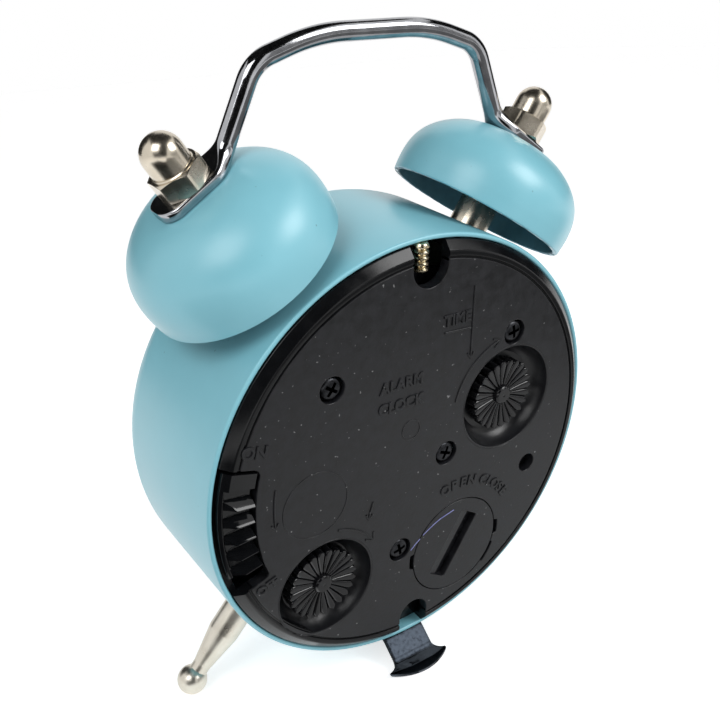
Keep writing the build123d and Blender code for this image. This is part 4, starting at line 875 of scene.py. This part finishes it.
upper = edge_angle(notch, groove_in)
lower = [180 - edge_angle(low_notch_side + k * low_notch, groove_in) for k in (1, -1)]
face_outline = softened(
    rear_arc(groove_in, upper, slot_first)[:-1]
    + [(*rear_point(groove_in, slot_first), 0.15), (*rear_point(slot_radius, slot_first), 0.9)]
    + rear_arc(slot_radius, slot_first, slot_last)[2:-2]
    + [(*rear_point(slot_radius, slot_last), 0.6), (*rear_point(groove_in, slot_last), 0.15)]
    + rear_arc(groove_in, slot_last, lower[0])[1:]
    + arc((-low_notch_side, -low_notch_height), low_notch, 180, 0, 15)
    + rear_arc(groove_in, lower[1], 360 - upper)
    + arc((0, notch_height), notch, 0, -180, 15)
)
# Hole of the lid, with two entries for its lugs and one wider stretch
lid_hole_radius, gap_radius, entry_radius, entry_half = 6.95, 7.3, 7.5, 9
lid_hole = []
for angle in range(0, -360, -2):
    radius = lid_hole_radius
    if abs(abs((angle + 180) % 360 - 180) - 90) < entry_half:
        radius = entry_radius
    elif 224 < angle % 360 < 252:
        radius = gap_radius
    lid_hole.append(rear_point(radius, angle, lid_place))
knob_wells = ((time_knob_place, 7.0), (alarm_knob_place, 6.5))
screw_hole, spare_hole, spare_place, well_gap = 1.62, 1.3, (-18.6, -7.0), 0.2
holes = [rear_ring(screw_hole, place, 48) for place in screw_places]
holes += [rear_ring(radius + well_gap, place) for place, radius in knob_wells]
holes += [lid_hole, rear_ring(spare_hole, spare_place, 48)]
rear_face = behind(0, 0, plate_face)
piece(
    "back_plate_face",
    plate_of([face_outline] + holes, inner_face - plate_face, 0.1, rear_face),
    black_plastic,
    stands_for=("back_plate",),
    sharp=14,
)


def rim_sector(profile, first, last, count=60):
    """Sector of the plate's rim, between angles or upright lines at distances from the middle."""
    loops = []
    for k in range(count + 1):
        loop = []
        for radius, depth in profile:
            start, stop = (
                at if kind == "angle" else turn + way * edge_angle(at, radius)
                for kind, at, turn, way in (first, last)
            )
            loop.append(about_axis(radius, depth, start + (stop - start) * k / count))
        loops.append(loop)
    return swept(loops)


groove_floor, groove_foot, skirt_radius = plate_face + 0.2, groove_in - 0.3, 26.5
bevel_profile = softened(
    [
        (groove_out, plate_face, 0.22),
        (bevel_radius, plate_face, 0.5),
        (plate_radius, bevel_foot, 0.15),
        (plate_radius, inner_face, 0),
        (groove_foot, inner_face, 0),
        (groove_foot, groove_floor, 0),
        (groove_out, groove_floor, 0),
    ]
)
skirt_profile = [
    (skirt_radius, inner_face),
    (plate_radius, inner_face),
    (plate_radius, skirt_end),
    (skirt_radius, skirt_end),
]
top_left, top_right = ("line", notch, 0, 1), ("line", notch, 360, -1)
low_left = ("line", low_notch_side + low_notch, 180, -1)
low_right = ("line", low_notch - low_notch_side, 180, 1)
slot_top, slot_low = ("angle", slot_first, 0, 0), ("angle", slot_last, 0, 0)
rim_parts = [
    rim_sector(bevel_profile, *ends)
    for ends in ((top_left, slot_top), (slot_low, low_left), (low_right, top_right))
]
rim_parts += [
    rim_sector(skirt_profile, *ends) for ends in ((top_left, low_left), (low_right, top_right))
]
# Black screen behind the low notch, closing the view through it: a dark sheet put in as painted
# shade, for the deep shade seen inside the notch
notch_shade_screen = [(20.5, 1.5), (27.2, 1.5), (27.2, 1.9), (20.5, 1.9)]
rim_parts.append(rim_sector(notch_shade_screen, ("angle", 172, 0, 0), ("angle", 190, 0, 0)))

well_floor, well_under, axle_hole = -2.4, -3.2, 1.1
wells = []
for place, radius in knob_wells:
    wall = [
        (radius, -0.2),
        (radius - 0.08, -0.6),
        (radius - 0.26, -1.1),
        (radius - 0.55, -1.6),
        (radius - 0.98, -2.05),
        (radius - 1.6, well_floor),
    ]
    bowl = [(radius + 0.4, -0.3), (radius + 0.2, 0.0), (radius + 0.12, 0.0), (radius + 0.03, -0.06)]
    bowl += [tuple(p) for p in flowing(wall)]
    bowl += [(axle_hole, well_floor), (axle_hole, well_under), (radius + 0.2, well_under)]
    wells.append(turned(bowl, behind(*place, plate_face)))
for name, parts, plastic in (
    ("back_plate_rim", rim_parts, rim_black), ("back_plate_wells", wells, satin_black)
):
    piece(name, joined(*parts), plastic, stands_for=("back_plate",), sharp=20)


def cut(mesh, *cutters):
    """Mesh with other meshes cut out of it."""
    maker = bpy.data.objects.new("cut", mesh)
    tools = [item_object(cutter) for cutter in cutters]
    for tool in tools:
        bpy.context.scene.collection.objects.link(tool)
        modifier = maker.modifiers.new("cut", "BOOLEAN")
        modifier.object, modifier.operation, modifier.solver = tool, "DIFFERENCE", "EXACT"
    result = made_mesh(maker)
    for tool in tools:
        bpy.data.objects.remove(tool)
    return result


def bar(length, width, top, bottom, taper=1.0, place=Matrix()):
    """Straight bar about local Z, narrower at its bottom by a taper."""
    loops = []
    for level, share in ((top, 1.0), (bottom, taper)):
        x, y = length / 2 * share, width / 2 * share
        loops.append([(x, y, level), (-x, y, level), (-x, -y, level), (x, -y, level)])
    return swept(loops, place)


# Screws with a low dome and a cross recess, each stopped at its own turn
head_profile = [
    (0, 0.0), (0.5, -0.01), (1.0, -0.08), (1.25, -0.2), (1.42, -0.42), (1.5, -0.75),
    (0.8, -0.75), (0.8, -3.0), (0, -3.0),
]
cross, cross_width, cross_levels, head_sink = 2.0, 0.46, (0.3, -0.62, 0.7), 0.1
head = cut(
    turned(head_profile, segments=48),
    bar(cross, cross_width, *cross_levels),
    bar(cross_width, cross, *cross_levels),
)
head.transform(behind(0, 0, plate_face + head_sink))
points = shape([(x, 0, z) for x, z in screw_places], [])
turned_screws = grown(
    set_screws, points, Item=item_object(head), Material=black_steel, Seed=4, **{"Most turn": 1.4}
)
piece(
    "plate_screws_set",
    turned_screws,
    black_steel,
    stands_for=("plate_screws",),
    sharp=30,
)


# Knobs: a fluted disc of petals round a raised centre
def knob_petal():
    """One petal, upright, from the centre to its rounded tip."""
    tip, height, edge, dish_depth = 4.75, 1.5, 0.3, 0.3
    loops = []
    for radius, width in (
        (1.2, 0.14), (1.4, 0.35), (2.2, 0.56), (3.0, 0.77), (3.8, 0.97), (4.3, 1.08),
        (4.55, 0.86), (4.69, 0.5), (tip, 0.14),
    ):
        dish = dish_depth * (1 - (radius / tip) ** 2)
        centre = Vector((0, -knob_top - dish - height / 2, radius))
        loops.append(band_loop(centre, Vector((1, 0, 0)), across, width, height, edge))
    return swept(loops)


petal = knob_petal()
petal_count, first_petal = 24, 0.06
for name, place in (("time_knob", time_knob_place), ("alarm_knob", alarm_knob_place)):
    petals = round_row(petal, petal_count, black_gloss, first_petal, 2 * math.pi / petal_count)
    petals.transform(Matrix.Translation((place[0], 0, place[1])))
    middle = softened(
        [
            (0, 0.13, 0), (0.22, 0.2, 0.06), (0.95, 0.2, 0.12), (1.2, 0.02, 0.1),
            (1.25, -0.75, 0), (4.3, -0.62, 0), (4.35, -1.5, 0), (0, -1.5, 0),
        ],
        closed=False,
    )
    centre = turned(middle, behind(*place, knob_top), 64)
    piece(
        name + "_fluted",
        joined(petals, centre),
        black_gloss,
        name,
        stands_for=(name,),
    )

# Battery lid: disc with a coin slot that has a sloping side, and two lugs underneath
lid_frame = behind(*lid_place, plate_face)
slot_turn = Matrix.Rotation(math.radians(59), 4, "Z")
half, side, ramp_side, slot_corner, slot_floor = 4.8, 1.1, 1.8, 0.25, -1.05
slot_corners = ((half, ramp_side), (half, -side), (-half, -side), (-half, ramp_side))
slot_outline = softened([(x, y, slot_corner) for x, y in slot_corners])
slot_outline = [tuple((slot_turn @ p.to_3d()).xy) for p in slot_outline]
lid_parts = [
    plate_of([ring_outline(lid_radius, 128), slot_outline], -slot_floor, 0.1),
    turned(
        [(0, -1.04), (6.6, -1.04), (6.6, -1.2), (5.7, -1.2), (5.7, -1.6), (0, -1.6)], segments=96
    ),
]
ledge = [(ramp_side, -0.16), (0.5, -0.3), (0.45, slot_floor), (ramp_side, slot_floor)]
lid_parts.append(swept([[(end, y, h) for y, h in ledge] for end in (-half, half)], slot_turn))
for mesh in lid_parts:
    mesh.transform(lid_frame)
lug_profile, lug_half = [(6.0, -1.55), (7.35, -1.55), (7.35, -2.05), (6.0, -2.05)], 8
for angle in (102, 282):
    loops = []
    for degrees in range(angle - lug_half, angle + lug_half + 1, 2):
        turn = math.radians(degrees)
        loops.append([(-r * math.sin(turn), r * math.cos(turn), h) for r, h in lug_profile])
    lid_parts.append(swept(loops, lid_frame))
piece(
    "battery_lid_disc",
    joined(*lid_parts),
    black_plastic,
    "battery_lid",
    stands_for=("battery_lid",),
    sharp=14,
)


# Alarm switch: a flush pad and five saw toothed ribs on a base with a sloping outer rail
def sector(profile, first, last, steps=12):
    """Sector about the case axis of a profile of radius and depth."""
    angles = [first + (last - first) * k / steps for k in range(steps + 1)]
    return swept([[about_axis(r, depth, angle) for r, depth in profile] for angle in angles])


slider_first, slider_last, pad_end, pad_lap = 75.4, 105.4, 79.8, 0.1
slider_in, slider_out, floor_depth, slider_under = 23.0, 26.95, -0.15, 0.5
under = [(slider_out, slider_under, 0), (slider_in, slider_under, 0)]
rail = [(26.2, -0.93, 0.2), (slider_out, -0.34, 0.1)]
pad = sector(softened([(slider_in, plate_face, 0.12)] + rail + under), slider_first, pad_end, 4)
low_rail = [(26.25, floor_depth, 0), (26.5, -0.5, 0.12), (slider_out, -0.3, 0.1)]
floor = sector(
    softened([(slider_in, floor_depth, 0)] + low_rail + under), pad_end - pad_lap, slider_last
)
flange = sector([(21.6, 0.65), (26.1, 0.65), (26.1, 1.25), (21.6, 1.25)], slider_first, slider_last)


def switch_rib():
    """One tooth at the top of the clock: a ramp, a crest, a steep side and a sloping outer end."""
    crest, glint, foot = -1.45, -1.22, -0.1
    ramp, glint_angle, crest_half, side_foot = 2.2, 0.65, 0.12, 0.42
    end_start, end_stop, end_share = 25.2, 26.6, 0.97
    loops = []
    for radius in (23.05, 24.0, end_start, 25.9, end_stop):
        share = end_share * max(0, (radius - end_start) / (end_stop - end_start))
        height, edge = crest + (foot - crest) * share, glint + (foot - glint) * share
        steps = (
            (-ramp, foot),
            (-(glint_angle + (ramp - glint_angle) * share), edge),
            (-(crest_half + (ramp - crest_half) * share), height),
            (crest_half, height),
            (side_foot, foot),
        )
        loops.append([about_axis(radius, depth, angle) for angle, depth in steps])
    return swept(loops)


ribs = round_row(switch_rib(), 5, slider_black, math.radians(84.8), math.radians(5.0))
piece(
    "alarm_switch_slider",
    joined(pad, floor, flange, ribs),
    slider_black,
    "alarm_switch",
    stands_for=("alarm_switch",),
    sharp=28,
)

# End of the case screw: threads cut into plated brass
pitch, root, crest, screw_end = 0.66, 0.66, 0.95, 3.4
thread = [(0, 0)]
for k in range(5):
    thread += [(root, 0.06 + pitch * k), (crest, 0.3 + pitch * k), (crest, 0.46 + pitch * k)]
thread += [(0.72, screw_end), (0, screw_end)]
piece(
    "case_screw_thread",
    turned(thread, Matrix.Translation((0.75, -0.2, 23.95)), 48),
    pale_brass,
    stands_for=("case_screw",),
)


# Raised marks on the plate: generic words, turning arrows and moulding rings
def ridge(points, width=0.24, height=0.12):
    """Raised line along points of the back, in picture coordinates."""
    loops, upright, edge = [], Vector((0, 0, 1)), 0.08
    spots = [Vector((x, y, 0)) for x, y, *_ in points]
    for i, spot in enumerate(spots):
        way = way_at(spots, i)
        over = Vector((-way.y, way.x, 0))
        loops.append(band_loop(spot, over, upright, width, 2 * height, edge))
    return swept(loops, rear_face)


def arrow(points, head=0.9):
    """Raised line that ends in an arrowhead."""
    tip, before_tip = Vector(points[-1][:2]), Vector(points[-2][:2])
    way = (before_tip - tip).normalized() * head
    barbs = [tip + Matrix.Rotation(math.radians(k), 2) @ way for k in (32, -32)]
    return [ridge(points), ridge([barbs[0], tip, barbs[1]])]


def rear_words(text, size, x, z, turn=0.0):
    """Raised word on the back plate."""
    height, edge = 0.1, 0.05
    return words(text, size, height, behind(x, z, plate_face, turn), edge)


faint = (0.16, 0.06)
word_size, lid_word_radius = 1.9, 9.6
marks = [rear_words("ON", 2.0, 22.6, 8.4, -12), rear_words("OFF", 1.6, 21.5, -9.8, 20)]
for points, arrowhead in (
    (rear_arc(20.4, 82, 96.5), 0.8),
    (rear_arc(7.9, -11, -58, alarm_knob_place), 1.3),
    (rear_arc(8.8, 78, 14, time_knob_place), 1.2),
    ([(-6.9, -3.7), (-7.3, -5.0), (-7.5, -6.1)], 0.9),
    ([(6.6, 21.2), (6.7, 16.0), (6.8, 11.8)], 0.9),
):
    marks += arrow(points, arrowhead)
marks.append(ridge([(2.5, 16.1), (4.6, 16.0), (6.5, 15.9)]))
marks.append(ridge(rear_arc(4.3, 0, 360, (15.0, -1.1)), *faint))
marks.append(ridge(rear_arc(1.3, 0, 360, (1.7, 4.6), 12), *faint))
for text, x, z in (("TIME", -4.3, 17.5), ("ALARM", 3.4, 11.2), ("CLOCK", 3.4, 8.5)):
    marks.append(rear_words(text, word_size, x, z))
for text, first, step in (("OPEN", 14.2, -8.7), ("CLOSE", -25.0, -7.4)):
    for i, letter in enumerate(text):
        x, z = rear_point(lid_word_radius, first + i * step, lid_place)
        marks.append(rear_words(letter, word_size, -x, z, first + i * step))
piece("plate_marks", joined(*marks), black_plastic, sharp=14)
# Thin raised line that runs from the plate over the rim of the lid, painted violet as a glint of
# light
glint_line_on_plate = [(-0.68, -13.52), (0.0, -12.9), (0.75, -12.32)]
glint_line_on_lid = [(1.2, -11.95), (1.8, -11.55), (2.8, -10.98), (3.9, -10.48), (6.15, -9.93)]
piece("film_edge_on_plate", ridge(glint_line_on_plate, *faint), violet_glint_paint)
piece("film_edge_on_lid", ridge(glint_line_on_lid, *faint), violet_glint_paint, "battery_lid")

# ---------------------------------------------------------------- dial side

smooth_copy("lens", lens_glass)
smooth_copy("dial_ring", grey_plastic)

dial_face = before(0, 0, dial_front)
ink_height, marks_radius, hours_radius, hours_size = 0.03, 22.9, 18.2, 4.9


def dial_marks(count, length, width):
    """Ring of equal marks at the edge of the dial."""
    place = dial_face @ Matrix.Translation((0, marks_radius - length / 2, 0))
    mark = bar(width, length, ink_height, 0, 1.0, place)
    return round_row(mark, count, dial_ink, 0.0, 2 * math.pi / count)


print_parts = [dial_marks(60, 1.0, 0.22), dial_marks(12, 1.5, 0.6)]
for hour in range(1, 13):
    turn = math.radians(30 * hour)
    spot = Matrix.Translation((hours_radius * math.sin(turn), hours_radius * math.cos(turn), 0))
    print_parts.append(words(str(hour), hours_size, ink_height, dial_face @ spot))
piece("dial_print", joined(*print_parts), dial_ink, sharp=20)


def leaf(length, width, tail, hub, depth, angle):
    """Hand with a leaf shaped blade, a tail and a pressed hub."""
    thickness, edge, cap_height, widest = 0.25, 0.05, 0.14, 0.68 * length
    blade = softened(
        [
            (-0.32 * width, -tail, 0.2),
            (0.32 * width, -tail, 0.2),
            (0.24 * width, 0, 0.5),
            (0.5 * width, widest, 1.5),
            (0.06, length, 0.05),
            (-0.06, length, 0.05),
            (-0.5 * width, widest, 1.5),
            (-0.24 * width, 0, 0.5),
        ]
    )
    place = before(0, 0, depth + thickness, angle)
    cap = [(0, cap_height, 0), (hub * 0.55, cap_height, 0.08), (hub, 0.0, 0.08)]
    cap = softened(cap + [(hub, -thickness, 0), (0, -thickness, 0)], closed=False)
    return joined(plate_of([blade], thickness, edge, place), turned(cap, place, 48))


# Hands: length, width, tail, hub radius, depth and angle of each, on the wheel that turns it
for name, wheel, ink, sizes in (
    ("alarm_hand", "alarm_wheel", hand_red, (9.0, 1.0, 2.6, 2.6, 18.7, 210)),
    ("hour_hand", "hour_wheel", hand_black, (11.0, 2.0, 2.6, 2.3, 19.4, 304)),
    ("minute_hand", "cannon_pinion", hand_black, (17.0, 1.6, 2.6, 1.9, 20.1, 48)),
    ("second_hand", "second_wheel", hand_red, (18.5, 0.7, 5.0, 1.4, 20.8, 216)),
):
    piece(
        name + "_leaf",
        leaf(*sizes),
        ink,
        wheel,
        stands_for=(name,),
        sharp=25,
    )

# ---------------------------------------------------------------- stage, light, camera


def seen_directly(tree):
    """Value that is 1 for the eye and for what it sees in mirrors and through clear things."""
    path = add_node(tree, "ShaderNodeLightPath")
    seen = path.outputs["Is Camera Ray"]
    for ray in ("Is Glossy Ray", "Is Transmission Ray"):
        either = add_node(
            tree, "ShaderNodeMath", {0: seen, 1: path.outputs[ray]}, operation="MAXIMUM"
        )
        seen = either.outputs[0]
    return seen


room_light, room_seen, table_glow = 0.36, 1.0, 0.62
scene = bpy.context.scene
world = bpy.data.worlds.new("white_room")
scene.world = world
world.use_nodes = True
tree = world.node_tree
tree.nodes.clear()
seen = seen_directly(tree)
level = add_node(tree, "ShaderNodeMapRange", {0: seen, 1: 0.0, 2: 1.0, 3: room_light, 4: room_seen})
sky = add_node(tree, "ShaderNodeBackground", Color=(1, 1, 1, 1), Strength=level.outputs[0])
add_node(tree, "ShaderNodeOutputWorld", Surface=sky.outputs[0])

# White table: its own light reaches only the eye and what mirrors it, so shadows stay on it
table_white = surface("white_table", "f4f4f4", "efefef", 40.0, (0.8, 0.9), 2.0, 0.0)
tree = table_white.node_tree
seen = seen_directly(tree)
glow = add_node(tree, "ShaderNodeMath", {0: seen, 1: table_glow}, operation="MULTIPLY")
table_shader = tree.nodes["Principled BSDF"]
table_shader.inputs["Emission Color"].default_value = (1, 1, 1, 1)
tree.links.new(glow.outputs[0], table_shader.inputs["Emission Strength"])
bpy.ops.mesh.primitive_plane_add(size=3.0)
table = bpy.context.object
table.name = "table"
table.data.materials.append(table_white)


clock_middle = (0, 0, 0.04)


def facing(place, target=clock_middle):
    """Turn that points local -Z from a place to a target."""
    return (Vector(target) - Vector(place)).to_track_quat("-Z", "Y")


def softbox(name, place, size, power):
    """Square area lamp that faces the clock."""
    lamp = bpy.data.lights.new(name, "AREA")
    lamp.energy, lamp.size = power, size
    holder = bpy.data.objects.new(name, lamp)
    scene.collection.objects.link(holder)
    holder.location = place
    holder.rotation_mode = "QUATERNION"
    holder.rotation_quaternion = facing(place)


softbox("side_window", (-0.22, 0.31, 0.31), 0.22, 1.05)
softbox("upper_window", (0.29, 0.17, 0.32), 0.22, 0.62)

# Cloths that only mirrors see, so that bright metal and black plastic have something to show
black_cloth = surface("black_cloth", "0d0d0d", "080808", 20.0, (0.9, 1.0), 1.0, 0.0)
grey_cloth = surface("grey_cloth", "7c7c7c", "767676", 20.0, (0.9, 1.0), 1.0, 0.0)
white_cloth = surface("white_cloth", "ececec", "e6e6e6", 20.0, (0.9, 1.0), 1.0, 0.0)
for name, cloth, place, target, size in (
    ("cloth_behind_camera", black_cloth, (0.33, 0.49, 0.25), clock_middle, 0.8),
    ("cloth_overhead", black_cloth, (0.03, -0.02, 0.62), clock_middle, 0.8),
    ("cloth_in_front", black_cloth, (0.2, -0.55, 0.3), clock_middle, 0.6),
    ("cloth_over_the_rear", black_cloth, (0.06, 0.49, 0.72), clock_middle, 0.6),
    ("cloth_beside", white_cloth, (-0.4, 0.58, 0.2), clock_middle, 0.5),
    ("cloth_on_table", grey_cloth, (-0.11, 0.18, 0.0004), (-0.11, 0.18, -1), 0.31),
    ("cloth_at_right", black_cloth, (-0.66, -0.02, 0.3), clock_middle, 0.6),
    ("cloth_left_on_table", black_cloth, (0.094, 0.065, 0.0006), (0.094, 0.065, -1), 0.12),
    ("cloth_near_stand", white_cloth, (-0.03, 0.038, 0.0008), (-0.03, 0.038, -1), 0.085),
):
    bpy.ops.mesh.primitive_plane_add(size=size)
    card = bpy.context.object
    card.name = name
    card.location = place
    card.rotation_mode = "QUATERNION"
    card.rotation_quaternion = facing(place, target)
    card.data.materials.append(cloth)
    card.visible_camera = card.visible_diffuse = card.visible_shadow = False
    card.visible_transmission = False

camera = bpy.data.cameras.new("photo_camera")
camera.sensor_fit, camera.sensor_width, camera.lens = "HORIZONTAL", 36.0, 46.547
camera.clip_start, camera.clip_end = 0.001, 10.0
holder = bpy.data.objects.new("photo_camera", camera)
scene.collection.objects.link(holder)
holder.location = (0.06184, 0.09328, 0.08183)
holder.rotation_euler = (math.radians(69.866), math.radians(3.080), math.radians(145.235))
scene.camera = holder
scene.view_settings.view_transform = "Standard"
